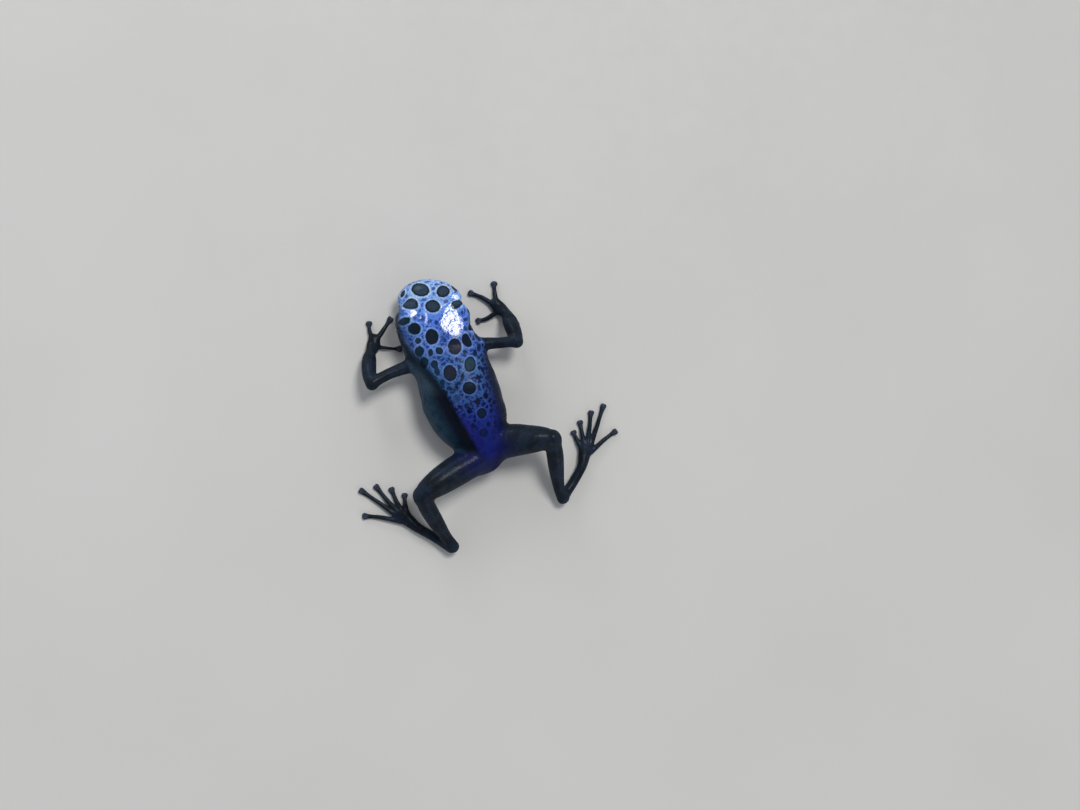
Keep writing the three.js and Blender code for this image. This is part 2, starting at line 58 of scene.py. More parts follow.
LIMBS = {
    "upper_arm_left": [(5.4, -7.7, 5.0, 1.7, 1.7), (8.4, -7.45, 5.2, 1.35, 1.35), (12.2, -7.1, 5.6, 1.12, 1.12), (15.7, -6.35, 5.9, 1.15, 1.15)],
    "upper_arm_right": [(-5.2, -7.9, 5.0, 1.7, 1.7), (-8.0, -7.6, 5.2, 1.3, 1.3), (-11.2, -6.9, 5.6, 1.1, 1.1), (-14.0, -6.4, 5.9, 1.15, 1.15)],
    "forearm_left": [(16.1, -6.05, 5.75, 1.2, 1.2), (16.0, -7.8, 4.9, 1.4, 1.35), (15.5, -9.7, 3.7, 1.5, 1.35), (14.9, -11.2, 2.6, 1.4, 1.15), (14.25, -12.3, 1.75, 1.1, 0.95)],
    "forearm_right": [(-14.4, -6.2, 5.75, 1.2, 1.2), (-14.5, -7.8, 4.9, 1.5, 1.4), (-14.55, -9.6, 3.7, 1.6, 1.4), (-14.6, -11.2, 2.6, 1.4, 1.15), (-14.45, -12.4, 1.75, 1.1, 0.95)],
    "hand_left": [(14.0, -12.6, 1.35, 1.0, 0.9), (13.25, -13.6, 0.95, 1.35, 0.85), (12.75, -14.7, 0.8, 1.2, 0.7)],
    "hand_right": [(-14.3, -12.7, 1.35, 1.0, 0.9), (-13.7, -13.8, 0.95, 1.35, 0.85), (-13.1, -15.0, 0.8, 1.2, 0.7)],
    "thigh_left": [(-0.2, 14.0, 5.6, 3.1, 3.3), (4.9, 15.2, 6.5, 3.1, 3.1), (8.7, 16.2, 7.6, 2.8, 2.75), (11.6, 17.1, 8.3, 2.25, 2.2), (12.95, 17.6, 8.5, 1.75, 1.7)],
    "thigh_right": [(-2.0, 12.4, 5.6, 3.2, 3.3), (-7.1, 12.5, 6.6, 3.35, 3.2), (-10.9, 13.3, 7.7, 2.9, 2.85), (-13.9, 14.0, 8.5, 2.3, 2.25), (-15.2, 14.3, 8.7, 1.75, 1.7)],
    "shank_left": [(12.95, 18.4, 8.1, 1.65, 1.6), (12.3, 21.2, 6.6, 1.72, 1.68), (11.4, 24.2, 4.9, 1.55, 1.45), (10.3, 27.4, 3.1, 1.18, 1.12), (9.3, 29.9, 2.0, 1.2, 1.15)],
    "shank_right": [(-15.2, 15.2, 8.3, 1.65, 1.6), (-15.1, 18.0, 6.8, 1.72, 1.68), (-14.85, 21.0, 5.1, 1.55, 1.45), (-14.7, 24.4, 3.2, 1.2, 1.12), (-15.0, 27.1, 2.0, 1.2, 1.15)],
    "tarsus_left": [(9.9, 29.9, 1.75, 1.05, 1.0), (12.4, 27.0, 1.25, 0.98, 0.85), (14.9, 24.4, 1.05, 1.0, 0.85)],
    "tarsus_right": [(-15.4, 26.8, 1.75, 1.05, 1.0), (-18.3, 24.5, 1.25, 0.98, 0.85), (-20.8, 22.1, 1.05, 1.0, 0.85)],
    "foot_left": [(15.3, 23.9, 0.98, 0.95, 0.8), (16.4, 22.3, 0.85, 1.3, 0.72), (17.6, 20.6, 0.72, 1.6, 0.6)],
    "foot_right": [(-21.1, 21.7, 0.98, 0.95, 0.8), (-22.1, 19.9, 0.85, 1.3, 0.72), (-23.1, 18.2, 0.72, 1.6, 0.6)],
}
DIGITS = {
    "finger_1_left": [(13.7, -12.9), (14.25, -11.2), (14.45, -9.9)],
    "finger_2_left": [(12.9, -13.3), (10.3, -12.15), (8.3, -11.5)],
    "finger_3_left": [(12.7, -14.2), (10.5, -16.0), (8.4, -17.8)],
    "finger_4_left": [(12.95, -14.4), (13.15, -16.5), (12.8, -18.1)],
    "finger_1_right": [(-14.0, -13.1), (-14.6, -11.4), (-14.7, -10.0)],
    "finger_2_right": [(-13.2, -13.4), (-10.7, -12.6), (-8.7, -12.6)],
    "finger_3_right": [(-12.9, -14.6), (-10.9, -16.9), (-8.8, -18.5)],
    "finger_4_right": [(-13.3, -14.8), (-13.6, -17.1), (-14.05, -19.0)],
    "toe_1_left": [(16.3, 21.4), (16.1, 19.0), (15.7, 17.2)],
    "toe_2_left": [(16.8, 21.3), (17.6, 18.0), (17.9, 15.3)],
    "toe_3_left": [(17.3, 21.4), (19.2, 17.5), (20.7, 13.9)],
    "toe_4_left": [(17.7, 21.6), (20.8, 17.5), (23.8, 13.8)],
    "toe_5_left": [(18.0, 22.0), (21.5, 20.1), (24.6, 18.9)],
    "toe_1_right": [(-21.9, 18.9), (-21.5, 16.6), (-21.3, 14.9)],
    "toe_2_right": [(-22.4, 18.8), (-22.9, 15.8), (-23.2, 13.3)],
    "toe_3_right": [(-22.9, 19.0), (-24.6, 15.3), (-26.0, 12.0)],
    "toe_4_right": [(-23.3, 19.3), (-26.2, 15.3), (-28.9, 11.4)],
    "toe_5_right": [(-23.6, 19.8), (-26.9, 18.2), (-29.8, 17.2)],
}
DIGIT_SHAPE = [(0, 0.55, 0.5, 0.78), (0.25, 0.5, 0.46, 0.74), (0.5, 0.46, 0.43, 0.62), (0.72, 0.4, 0.4, 0.48), (0.86, 0.46, 0.36, 0.34), (0.96, 0.6, 0.34, 0.3), (1.0, 0.6, 0.33, 0.29)]

SLIM = {"finger_2_left": 0.72, "finger_4_left": 0.9, "finger_1_left": 0.85}  # share of a digit's usual thickness
DISC = {"finger_4_right": 1.25, "finger_3_right": 1.12, "finger_4_left": 1.1}  # and of its disc's width

# ---------------------------------------------------------------- the skin's own settings
VOXEL = 0.13  # mm
BAND = 1.3  # mm kept on both sides of each surface
MOST_TRIANGLES = 190000

# ---------------------------------------------------------------- the camera
FRAME_W, FRAME_H, FOCAL = 1080.0, 810.0, 1484.0  # pixels
TILT, ROLL = math.radians(7.0), math.radians(16.3)
AIM, AIM_PX, MM_PER_PX = np.array([0.0, 0.0, 6.0]), (458.0, 391.0), 0.2


def camera_model():
    back = np.array([math.sin(TILT), 0.0, math.cos(TILT)])
    head = np.array([0.0, -1.0, 0.0])
    head -= back * head.dot(back)
    head /= np.linalg.norm(head)
    side = np.cross(head, back)
    right = math.cos(ROLL) * side - math.sin(ROLL) * head
    up = math.sin(ROLL) * side + math.cos(ROLL) * head
    aimed = np.stack([right, up, back], 1)
    ray = np.array([(AIM_PX[0] - FRAME_W / 2) / FOCAL, (FRAME_H / 2 - AIM_PX[1]) / FOCAL, -1.0])
    unit = ray / np.linalg.norm(ray)
    axis = np.array([0.0, 0.0, -1.0])
    v, c = np.cross(axis, unit), axis.dot(unit)
    k = np.array([[0, -v[2], v[1]], [v[2], 0, -v[0]], [-v[1], v[0], 0]])
    turn = aimed @ (np.eye(3) + k + k @ k / (1 + c)).T
    return turn, AIM - (turn @ ray) * FOCAL * MM_PER_PX


CAM_TURN, CAM_PLACE = camera_model()


def to_pixels(p):
    local = (np.atleast_2d(p) - CAM_PLACE) @ CAM_TURN
    return np.stack([FRAME_W / 2 - FOCAL * local[:, 0] / local[:, 2], FRAME_H / 2 + FOCAL * local[:, 1] / local[:, 2]], 1)


def pixel_ray(x, y):
    d = CAM_TURN @ np.array([(x - FRAME_W / 2) / FOCAL, (FRAME_H / 2 - y) / FOCAL, -1.0])
    return d / np.linalg.norm(d)


# ---------------------------------------------------------------- curves
def profile(knots):
    """A smooth curve through knots that never overshoots them."""
    x, y = np.array([k[0] for k in knots], float), np.array([k[1] for k in knots], float)
    h = np.diff(x)
    d = np.diff(y) / h
    m = np.zeros(len(x))
    m[0], m[-1] = d[0], d[-1]
    for i in range(1, len(x) - 1):
        if d[i - 1] * d[i] > 0:
            m[i] = 3 * (h[i - 1] + h[i]) / ((2 * h[i] + h[i - 1]) / d[i - 1] + (h[i] + 2 * h[i - 1]) / d[i])

    def value(s):
        s = np.clip(np.asarray(s, float), x[0], x[-1])
        i = np.clip(np.searchsorted(x, s, side="right") - 1, 0, len(x) - 2)
        t = (s - x[i]) / h[i]
        u = 1 - t
        return y[i] * u * u * (1 + 2 * t) + m[i] * h[i] * t * u * u + y[i + 1] * t * t * (3 - 2 * t) - m[i + 1] * h[i] * t * t * u

    return value


def spline(rows, t):
    """A Catmull-Rom curve through rows of numbers, for an array t from 0 to 1."""
    rows = np.array(rows, float)
    n = len(rows) - 1
    p = np.clip(np.asarray(t, float), 0, 1) * n
    i = np.minimum(np.floor(p).astype(int), n - 1)
    u = (p - i)[:, None]
    b, c = rows[i], rows[i + 1]
    a = np.where((i > 0)[:, None], rows[np.maximum(i - 1, 0)], 2 * b - c)
    d = np.where((i < n - 1)[:, None], rows[np.minimum(i + 2, n)], 2 * c - b)
    m0, m1 = (c - a) / 2, (d - b) / 2
    return b + m0 * u + (-3 * b + 3 * c - 2 * m0 - m1) * u**2 + (2 * b - 2 * c + m0 + m1) * u**3


def smooth(lo, hi, x):
    t = np.clip((np.asarray(x, float) - lo) / (hi - lo), 0, 1)
    return t * t * (3 - 2 * t)


B = {k: profile(v) for k, v in dict(x=SPINE_X, yaw=YAW_DEG, wide=HALF_WIDTH, top=TOP_Z, bottom=BOTTOM_Z, side=SIDE_Z, tp=TOP_POWER, bp=BOTTOM_POWER, lean=LEAN).items()}


def round_off(s, length):
    return np.where(s >= length, 1.0, (1 - (1 - np.clip(s, 0, length) / length) ** ROUND_POWER) ** (1 / ROUND_POWER))


def body_numbers(s):
    """Half width, height of the widest line, top and bottom of the body at s behind the snout."""
    s = np.asarray(s, float)
    rear = round_off(BODY_LENGTH - s, VENT_ROUND)
    ends = np.minimum(round_off(s, SNOUT_ROUND_SIDE), rear)
    tip = np.where(s < BODY_LENGTH / 2, SNOUT_Z, VENT_Z)
    half = B["wide"](s) * round_off(s, SNOUT_ROUND_PLAN) * rear
    return half, tip + (B["side"](s) - tip) * ends, tip + (B["top"](s) - tip) * ends, tip + (B["bottom"](s) - tip) * ends


def body_coords(p):
    """Along (behind the snout) and across (to the frog's left) for points on or near the body."""
    x, y = p[:, 0], p[:, 1]
    across = np.zeros(len(p))
    s = y - SNOUT_Y
    for _ in range(6):
        yaw = np.radians(B["yaw"](s))
        across = (x - B["x"](s)) / np.cos(yaw)
        s = y - SNOUT_Y + np.sin(yaw) * across
    return s, across


def head_point(s, lat, z):
    yaw = math.radians(float(B["yaw"](s)))
    return np.array([float(B["x"](s)) + math.cos(yaw) * lat, SNOUT_Y + s - math.sin(yaw) * lat, z])


def head_axes(s):
    """The frog's left, forward and up at s behind the snout."""
    yaw = math.radians(float(B["yaw"](s)))
    return np.array([math.cos(yaw), -math.sin(yaw), 0]), np.array([-math.sin(yaw), -math.cos(yaw), 0]), np.array([0, 0, 1.0])


# ---------------------------------------------------------------- closed shapes and their distance fields
LOW = np.array([-31.9, -25.0, -1.6])
HIGH = np.array([26.7, 32.7, 13.9])
SHAPE = tuple(np.ceil((HIGH - LOW) / VOXEL).astype(int))
SPACE = vdb.createLinearTransform(voxelSize=VOXEL)
HALF_BAND = BAND / VOXEL


def tube(rings):
    """Points, quads and end fans of a closed tube from rings of points [rings, sides, 3]."""
    n, m = rings.shape[:2]
    points = np.concatenate([rings.reshape(-1, 3), rings[0].mean(0)[None], rings[-1].mean(0)[None]])
    i, j = np.meshgrid(np.arange(n - 1), np.arange(m), indexing="ij")
    k = (j + 1) % m
    quads = np.stack([i * m + j, i * m + k, (i + 1) * m + k, (i + 1) * m + j], -1).reshape(-1, 4)
    j = np.arange(m)
    k = (j + 1) % m
    first = np.stack([np.full(m, n * m), k, j], -1)
    last = np.stack([np.full(m, n * m + 1), (n - 1) * m + j, (n - 1) * m + k], -1)
    return points, quads, np.concatenate([first, last])


def body_shape():
    u = np.linspace(0, 1, 261)
    s = np.clip((0.4 * u + 0.6 * (0.5 - 0.5 * np.cos(np.pi * u))) * BODY_LENGTH, 0.003, BODY_LENGTH - 0.003)
    half, side, top, bottom = body_numbers(s)
    a = np.linspace(0, 2 * np.pi, 160, endpoint=False)
    c, n = np.cos(a)[None], np.sin(a)[None]
    power = np.where(n >= 0, 2 / B["tp"](s)[:, None], 2 / B["bp"](s)[:, None])
    side, top, bottom = side[:, None], top[:, None], bottom[:, None]
    z = side + np.sign(n) * np.abs(n) ** power * np.where(n >= 0, top - side, side - bottom)
    across = half[:, None] * np.sign(c) * np.abs(c) ** power
    across = across + B["lean"](s)[:, None] * np.clip((z - side) / np.maximum(top - side, 1e-6), 0, None) ** 2
    yaw = np.radians(B["yaw"](s))[:, None]
    return tube(np.stack([B["x"](s)[:, None] + np.cos(yaw) * across, (SNOUT_Y + s)[:, None] - np.sin(yaw) * across, z], -1))


def limb_shape(stations, roundness=1.0, rings=30, sides=28):
    t = np.linspace(0, 1, rings)
    v = spline(stations, t)
    e = 0.01
    d = spline(stations, np.minimum(t + e, 1))[:, :3] - spline(stations, np.maximum(t - e, 0))[:, :3]
    k = np.sin(np.linspace(0, 0.5 * np.pi, 9)[1:] * 0.985)
    shrink = np.sqrt(1 - k * k)
    unit = d / np.linalg.norm(d, axis=1, keepdims=True)
    centre = np.concatenate([v[0, :3] - unit[0] * (k[::-1] * v[0, 3] * roundness)[:, None], v[:, :3], v[-1, :3] + unit[-1] * (k * v[-1, 3] * roundness)[:, None]])
    w = np.concatenate([v[0, 3] * shrink[::-1], v[:, 3], v[-1, 3] * shrink])
    h = np.concatenate([v[0, 4] * shrink[::-1], v[:, 4], v[-1, 4] * shrink])
    along = np.concatenate([np.repeat(unit[:1], len(k), 0), unit, np.repeat(unit[-1:], len(k), 0)])
    side = np.cross([0, 0, 1.0], along)
    side /= np.linalg.norm(side, axis=1, keepdims=True)
    top = np.cross(along, side)
    a = np.linspace(0, 2 * np.pi, sides, endpoint=False)
    return tube(centre[:, None] + side[:, None] * (w[:, None] * np.cos(a))[..., None] + top[:, None] * (h[:, None] * np.sin(a))[..., None])


def field_of(shape, pad=2):
    """The distance field of a closed shape in its own block of the grid: the block's slices and its values."""
    points, quads, tris = shape
    local = points - LOW
    lo = np.maximum(np.floor((local.min(0) - BAND) / VOXEL).astype(int) - pad, 0)
    hi = np.minimum(np.ceil((local.max(0) + BAND) / VOXEL).astype(int) + pad, SHAPE)
    grid = vdb.FloatGrid.createLevelSetFromPolygons(local.astype(np.float32), triangles=tris.astype(np.uint32), quads=quads.astype(np.uint32), transform=SPACE, halfWidth=HALF_BAND)
    values = np.full(tuple(hi - lo), BAND, np.float32)
    grid.copyToArray(values, ijk=tuple(int(v) for v in lo))
    return tuple(slice(int(a), int(b)) for a, b in zip(lo, hi)), values


def smin(a, b, k):
    """The union of two fields, with a fillet of about k between them."""
    h = np.maximum(k - np.abs(a - b), 0) / k
    low = np.minimum(a, b)
    return np.where(low >= BAND * 0.999, BAND, low - h * h * k * 0.25).astype(np.float32)


def smax(a, b, k):
    h = np.maximum(k - np.abs(a - b), 0) / k
    return (np.maximum(a, b) + h * h * k * 0.25).astype(np.float32)


def places(block):
    """x, y and z of a block's voxels, as three arrays that broadcast together."""
    axes = [LOW[i] + np.arange(b.start, b.stop) * VOXEL for i, b in enumerate(block)]
    return axes[0][:, None, None], axes[1][None, :, None], axes[2][None, None, :]


def block_round(centre, reach):
    lo = np.maximum(np.floor((np.asarray(centre) - reach - LOW) / VOXEL).astype(int), 0)
    hi = np.minimum(np.ceil((np.asarray(centre) + reach - LOW) / VOXEL).astype(int), SHAPE)
    return tuple(slice(int(a), int(b)) for a, b in zip(lo, hi))


def sample(field, p):
    """The field at points, by linear interpolation."""
    q = (np.atleast_2d(p) - LOW) / VOXEL
    i = np.clip(np.floor(q).astype(int), 0, np.array(SHAPE) - 2)
    f = np.clip(q - i, 0, 1)
    out = np.zeros(len(q))
    for dx in (0, 1):
        for dy in (0, 1):
            for dz in (0, 1):
                w = (f[:, 0] if dx else 1 - f[:, 0]) * (f[:, 1] if dy else 1 - f[:, 1]) * (f[:, 2] if dz else 1 - f[:, 2])
                out += w * field[i[:, 0] + dx, i[:, 1] + dy, i[:, 2] + dz]
    return out


def surface_point(field, start, direction, reach=12.0):
    """Where a ray from inside first leaves the field's surface."""
    direction = np.asarray(direction, float) / np.linalg.norm(direction)
    t = np.arange(0, reach, VOXEL * 0.4)
    d = sample(field, np.asarray(start)[None] + t[:, None] * direction[None])
    out = np.argmax(d > 0)
    a, b = d[out - 1], d[out]
    return np.asarray(start) + direction * (t[out - 1] + (t[out] - t[out - 1]) * (-a) / (b - a))


def into(field, block, values, k):
    field[block] = smin(field[block], values, k)


def flatten(field, rows):
    """Draws the surface towards a plane in each of a few places."""
    for x, y, w, h, tilt, high, share in rows:
        flat_n = np.array([*tilt, 1.0]) / math.sqrt(tilt[0] ** 2 + tilt[1] ** 2 + 1)
        blk = block_round(np.array([x, y, high]), max(w, h) * 1.6)
        x_, y_, z_ = places(blk)
        off = np.sqrt(((x_ - x) / w) ** 2 + ((y_ - y) / h) ** 2 + ((z_ - high) / 2.2) ** 2)
        plane = (x_ - x) * flat_n[0] + (y_ - y) * flat_n[1] + (z_ - high) * flat_n[2]
        m = share * (1 - smooth(0.55, 1.35, off))
        field[blk] = np.where(np.abs(field[blk]) < BAND * 0.98, field[blk] * (1 - m) + np.clip(plane, -BAND, BAND) * m, field[blk]).astype(np.float32)


# ---------------------------------------------------------------- the skin as one field
def make_fields():
    body = np.full(SHAPE, BAND, np.float32)
    block, values = field_of(body_shape())
    body[block] = values

    # Low forms of the back: the crest over the sacrum, the two hip bones beside it and the tail strut.
    near = np.argwhere(np.abs(body) < BAND * 0.98)
    p = LOW + near * VOXEL
    s, across = body_coords(p)
    half = body_numbers(s)[0]
    u = across / np.maximum(half, 1)
    up = smooth(6.5, 9.0, p[:, 2])
    strut = -0.22 * np.exp(-((across + 0.35) / 0.75) ** 2) * smooth(25, 29, s) * (1 - smooth(36, 39.5, s))
    troughs = 0.2 * (np.exp(-((across - 1.9) / 1.0) ** 2) + np.exp(-((across + 2.6) / 1.0) ** 2)) * smooth(26, 30, s) * (1 - smooth(34, 38, s))
    hips = -0.24 * (np.exp(-((across - 2.9) / 1.1) ** 2) + np.exp(-((across + 3.6) / 1.1) ** 2)) * np.exp(-((s - 25.6) / 3.2) ** 2)
    shoulders = -0.2 * (np.exp(-((across - 4.6) / 1.5) ** 2) + np.exp(-((across + 4.6) / 1.5) ** 2)) * np.exp(-((s - 14.6) / 2.4) ** 2)
    nape = 0.07 * np.exp(-((s - 11.6) / 1.5) ** 2) * np.exp(-((across) / 4.5) ** 2)
    # Soft folds of the flank between the limbs.
    folds = 0.045 * np.sin(s * 1.55 + across * 0.5) * smooth(15, 18, s) * (1 - smooth(30, 33, s)) * np.exp(-((np.abs(u) - 0.93) / 0.16) ** 2)
    change = (strut + troughs + hips + shoulders + nape) * up + folds
    # Flat sides of the muzzle between eye and nostril.
    cheek = 0.28 * np.exp(-((s - 3.6) / 1.7) ** 2) * np.exp(-((np.abs(across) - 5.1) / 1.3) ** 2) * np.exp(-((p[:, 2] - 5.9) / 1.1) ** 2)
    body[near[:, 0], near[:, 1], near[:, 2]] += (change + cheek).astype(np.float32)

    for side in (1, -1):
        left, forward, up_ = head_axes(LID["s"])
        c = head_point(LID["s"], LID["lat"] * side, LID["z"])
        blk = block_round(c, 5.2)
        x, y, z = places(blk)
        dx, dy, dz = x - c[0], y - c[1], z - c[2]
        a = (dx * left[0] + dy * left[1]) / LID["across"]
        b = (dx * forward[0] + dy * forward[1]) / LID["along"]
        h = dz / LID["high"]
        r = np.sqrt(a * a + b * b + h * h)
        g = np.sqrt((a / LID["across"]) ** 2 + (b / LID["along"]) ** 2 + (h / LID["high"]) ** 2)
        lid = np.clip(r * (r - 1) / np.maximum(g, 1e-6), -BAND, BAND)
        into(body, blk, lid, 1.7)

    # Behind each lid the nape is flat, and tilted a little forwards.
    flatten(body, FLATS)

    skin = body.copy()
    for side in ("left", "right"):
        sign = 1 if side == "left" else -1
        made = {}
        for name, more in (("upper_arm", None), ("forearm", "hand"), ("thigh", None), ("shank", None), ("tarsus", "foot")):
            stations = LIMBS[f"{name}_{side}"]
            if more:
                stations = stations + LIMBS[f"{more}_{side}"][1:]
            made[name] = field_of(limb_shape(stations, rings=64 if more else 40, sides=36))
        for kind, count in (("finger", 4), ("toe", 5)):
            for number in range(1, count + 1):
                slim = SLIM.get(f"{kind}_{number}_{side}", 1.0)
                wide = DISC.get(f"{kind}_{number}_{side}", 1.0)
                rows = [(*spline(DIGITS[f"{kind}_{number}_{side}"], [share])[0], z, w * (slim if share < 0.8 else wide if share > 0.9 else 1), h * (slim if share < 0.8 else 1)) for share, w, h, z in DIGIT_SHAPE]
                blk, values = field_of(limb_shape(rows, roundness=0.8, rings=26, sides=20))
                # two small scutes side by side on top of the disc
                MARKS["disc"].append(np.array([*spline(DIGITS[f"{kind}_{number}_{side}"], [1.0])[0], 0.5]))
                before, tip = spline(DIGITS[f"{kind}_{number}_{side}"], [0.86, 1.0])
                ahead = (tip - before) / np.linalg.norm(tip - before)
                x, y, z = places(blk)
                for sgn in (1, -1):
                    cx, cy = tip - ahead * 0.02 + sgn * 0.3 * np.array([-ahead[1], ahead[0]])
                    u, v = (x - cx) * ahead[0] + (y - cy) * ahead[1], (x - cx) * -ahead[1] + (y - cy) * ahead[0]
                    r = np.sqrt((u / 0.5) ** 2 + (v / 0.36) ** 2 + ((z - 0.5) / 0.3) ** 2)
                    values = smin(values, np.clip((r - 1) * 0.33, -BAND, BAND), 0.1)
                made[f"{kind}_{number}"] = (blk, values)
        for chain, joins, root, reach in (
            (["upper_arm", "forearm"] + [f"finger_{i}" for i in (1, 2, 3, 4)], {"forearm": 0.7}, np.array([6.4 * sign, -7.7, 5.0]), (2.6, 5.2)),
            (["thigh", "shank", "tarsus"] + [f"toe_{i}" for i in (1, 2, 3, 4, 5)], {"shank": 1.0, "tarsus": 0.7}, np.array([4.0 * sign - 1.0, 13.8, 6.0]), (5.0, 9.0)),
        ):
            lo = [min(made[n][0][i].start for n in chain) for i in range(3)]
            hi = [max(made[n][0][i].stop for n in chain) for i in range(3)]
            limb = np.full([b - a for a, b in zip(lo, hi)], BAND, np.float32)
            for n in chain:
                blk, values = made[n]
                inner = tuple(slice(b.start - a, b.stop - a) for a, b in zip(lo, blk))
                into(limb, inner, values, joins.get(n, 0.34))
            outer = tuple(slice(a, b) for a, b in zip(lo, hi))
            x, y, z = places(outer)
            off = np.sqrt((x - root[0]) ** 2 + (y - root[1]) ** 2 + (z - root[2]) ** 2)
            k = 0.06 + 1.1 * (1 - smooth(reach[0], reach[1], off))
            into(skin, outer, limb, k)

    # Eyes: the socket opens along the eye's axis, with a rounded lid margin all round it.
    for side in (1, -1):
        left, forward, up_ = head_axes(EYE["s"])
        c = head_point(EYE["s"], EYE["lat"] * side, EYE["z"])
        axis = eye_axis(side)
        over = np.cross(axis, np.cross([0, 0, 1.0], axis))
        over /= np.linalg.norm(over)
        fore = np.cross(over, axis)
        blk = block_round(c, 4.2)
        x, y, z = places(blk)
        dx, dy, dz = x - c[0], y - c[1], z - c[2]
        a = dx * axis[0] + dy * axis[1] + dz * axis[2]
        o = dx * over[0] + dy * over[1] + dz * over[2]
        f = dx * fore[0] + dy * fore[1] + dz * fore[2]
        rho = np.sqrt(o * o + f * f)
        r = np.sqrt(a * a + rho * rho)
        angle = np.arctan2(rho, a)
        limit = lid_limit(o / np.maximum(rho, 1e-6))
        # the lids close round the ball, and the opening is cut in them
        into(skin, blk, np.clip(r - (EYE["radius"] + 0.24), -BAND, BAND), 0.9)
        cone = r * np.sin(np.clip(limit - 0.03 - angle, -1.5, 1.5))
        clear = np.where(a > 0, np.clip(cone, -BAND, BAND), -BAND)
        skin[blk] = smax(skin[blk], clear, 0.2)
        rim_r = EYE["radius"] + 0.08
        rim = np.sqrt((r - rim_r) ** 2 + (rim_r * (angle - limit)) ** 2) - 0.27
        into(skin, blk, np.clip(rim, -BAND, BAND), 0.3)
        ball = r - (EYE["radius"] - 0.16)
        skin[blk] = np.maximum(skin[blk], np.clip(-ball, -BAND, BAND)).astype(np.float32)

        # Nostril: a small pit with a soft rim at the corner of the snout.
        start = head_point(4.0, 1.3 * side, 5.0)
        direction = forward * 0.80 + left * side * 0.34 + up_ * 0.40
        n = surface_point(skin, start, direction)
        blk = block_round(n, 1.6)
        x, y, z = places(blk)
        dx, dy, dz = x - n[0], y - n[1], z - n[2]
        r = np.sqrt(dx * dx + dy * dy + dz * dz)
        skin[blk] += (-0.12 * np.exp(-((r - 0.46) / 0.2) ** 2)).astype(np.float32)
        inward = direction / np.linalg.norm(direction)
        t = dx * inward[0] + dy * inward[1] + dz * inward[2]
        rr = np.sqrt(np.maximum(r * r - t * t, 0))
        pit = np.maximum(rr - 0.2, np.abs(t) - 0.5)
        skin[blk] = smax(skin[blk], np.clip(-pit, -BAND, BAND), 0.12)
        MARKS["nostril"].append(n)

        # Eardrum: a shallow round dish behind the eye, with a thin ring.
        start = head_point(11.2, 2.0 * side, 6.0)
        t0 = surface_point(skin, start, left * side)
        blk = block_round(t0, 2.2)
        x, y, z = places(blk)
        r = np.sqrt((x - t0[0]) ** 2 + (y - t0[1]) ** 2 + (z - t0[2]) ** 2)
        skin[blk] += (0.16 * (1 - smooth(0.55, 0.95, r)) - 0.10 * np.exp(-((r - 1.12) / 0.2) ** 2)).astype(np.float32)
        MARKS["eardrum"].append(t0)

    flatten(skin, LID_FLATS)

    # Mouth: a fine groove under a soft upper lip, and low folds of the throat.
    near = np.argwhere(np.abs(skin) < BAND * 0.98)
    p = LOW + near * VOXEL
    front = p[:, 1] < SNOUT_Y + 17
    near, p = near[front], p[front]
    s, across = body_coords(p)
    on_head = 1 - smooth(MOUTH_LENGTH - 1.0, MOUTH_LENGTH + 0.2, s)
    off = p[:, 2] - mouth_height(s)
    groove = 0.26 * np.exp(-((off) / 0.15) ** 2) * on_head
    lip = -0.10 * np.exp(-((off - 0.45) / 0.28) ** 2) * on_head
    jaw = -0.05 * np.exp(-((off + 0.45) / 0.28) ** 2) * on_head
    skin[near[:, 0], near[:, 1], near[:, 2]] += (groove + lip + jaw).astype(np.float32)

    # Everything that touches the floor is flat at one level.
    z = (LOW[2] + np.arange(SHAPE[2]) * VOXEL)[None, None, :]
    skin = smax(skin, np.clip(-z, -BAND, BAND) + np.zeros_like(skin), 0.16)
    return body, skin


# x, y, half width, half length, slopes to x and y, height, share of flattening.
FLATS = [(-2.4, -13.3, 3.3, 4.2, (-0.1, -0.18), 9.92, 0.93), (4.7, -17.1, 1.2, 1.1, (-0.1, -0.18), 10.08, 0.85), (-4.7, -18.25, 1.35, 1.25, (-0.1, -0.18), 7.93, 0.95), (4.3, -14.6, 1.7, 1.9, (-0.08, -0.08), 9.72, 0.5)]
LID_FLATS = [(-2.75, -14.75, 1.9, 2.5, (-0.1, -0.18), 9.63, 0.85), (4.75, -17.05, 1.1, 1.0, (-0.1, -0.18), 10.08, 0.75), (3.6, -16.05, 0.7, 0.65, (-0.1, -0.18), 9.82, 0.7)]
LID_ANGLE = math.radians(57)
MARKS = {"nostril": [], "eardrum": [], "disc": []}


def mouth_height(s):
    t = np.clip(np.asarray(s, float) / MOUTH_LENGTH, 0, 1)
    return MOUTH_Z + 0.18 * np.sin(np.pi * t) - 0.3 * t**3


def lid_limit(rise):
    """The angle from the eye's axis to the lid margin; rise is 1 straight above the axis and -1 below."""
    return LID_ANGLE - 0.34 * np.clip(rise, 0, 1) ** 2 - 0.13 * np.clip(-rise, 0, 1) ** 2


def eye_axis(side):
    left, forward, up = head_axes(EYE["s"])
    a = left * side * math.cos(math.radians(20)) + forward * math.sin(math.radians(20)) + up * math.tan(math.radians(7))
    return a / np.linalg.norm(a)


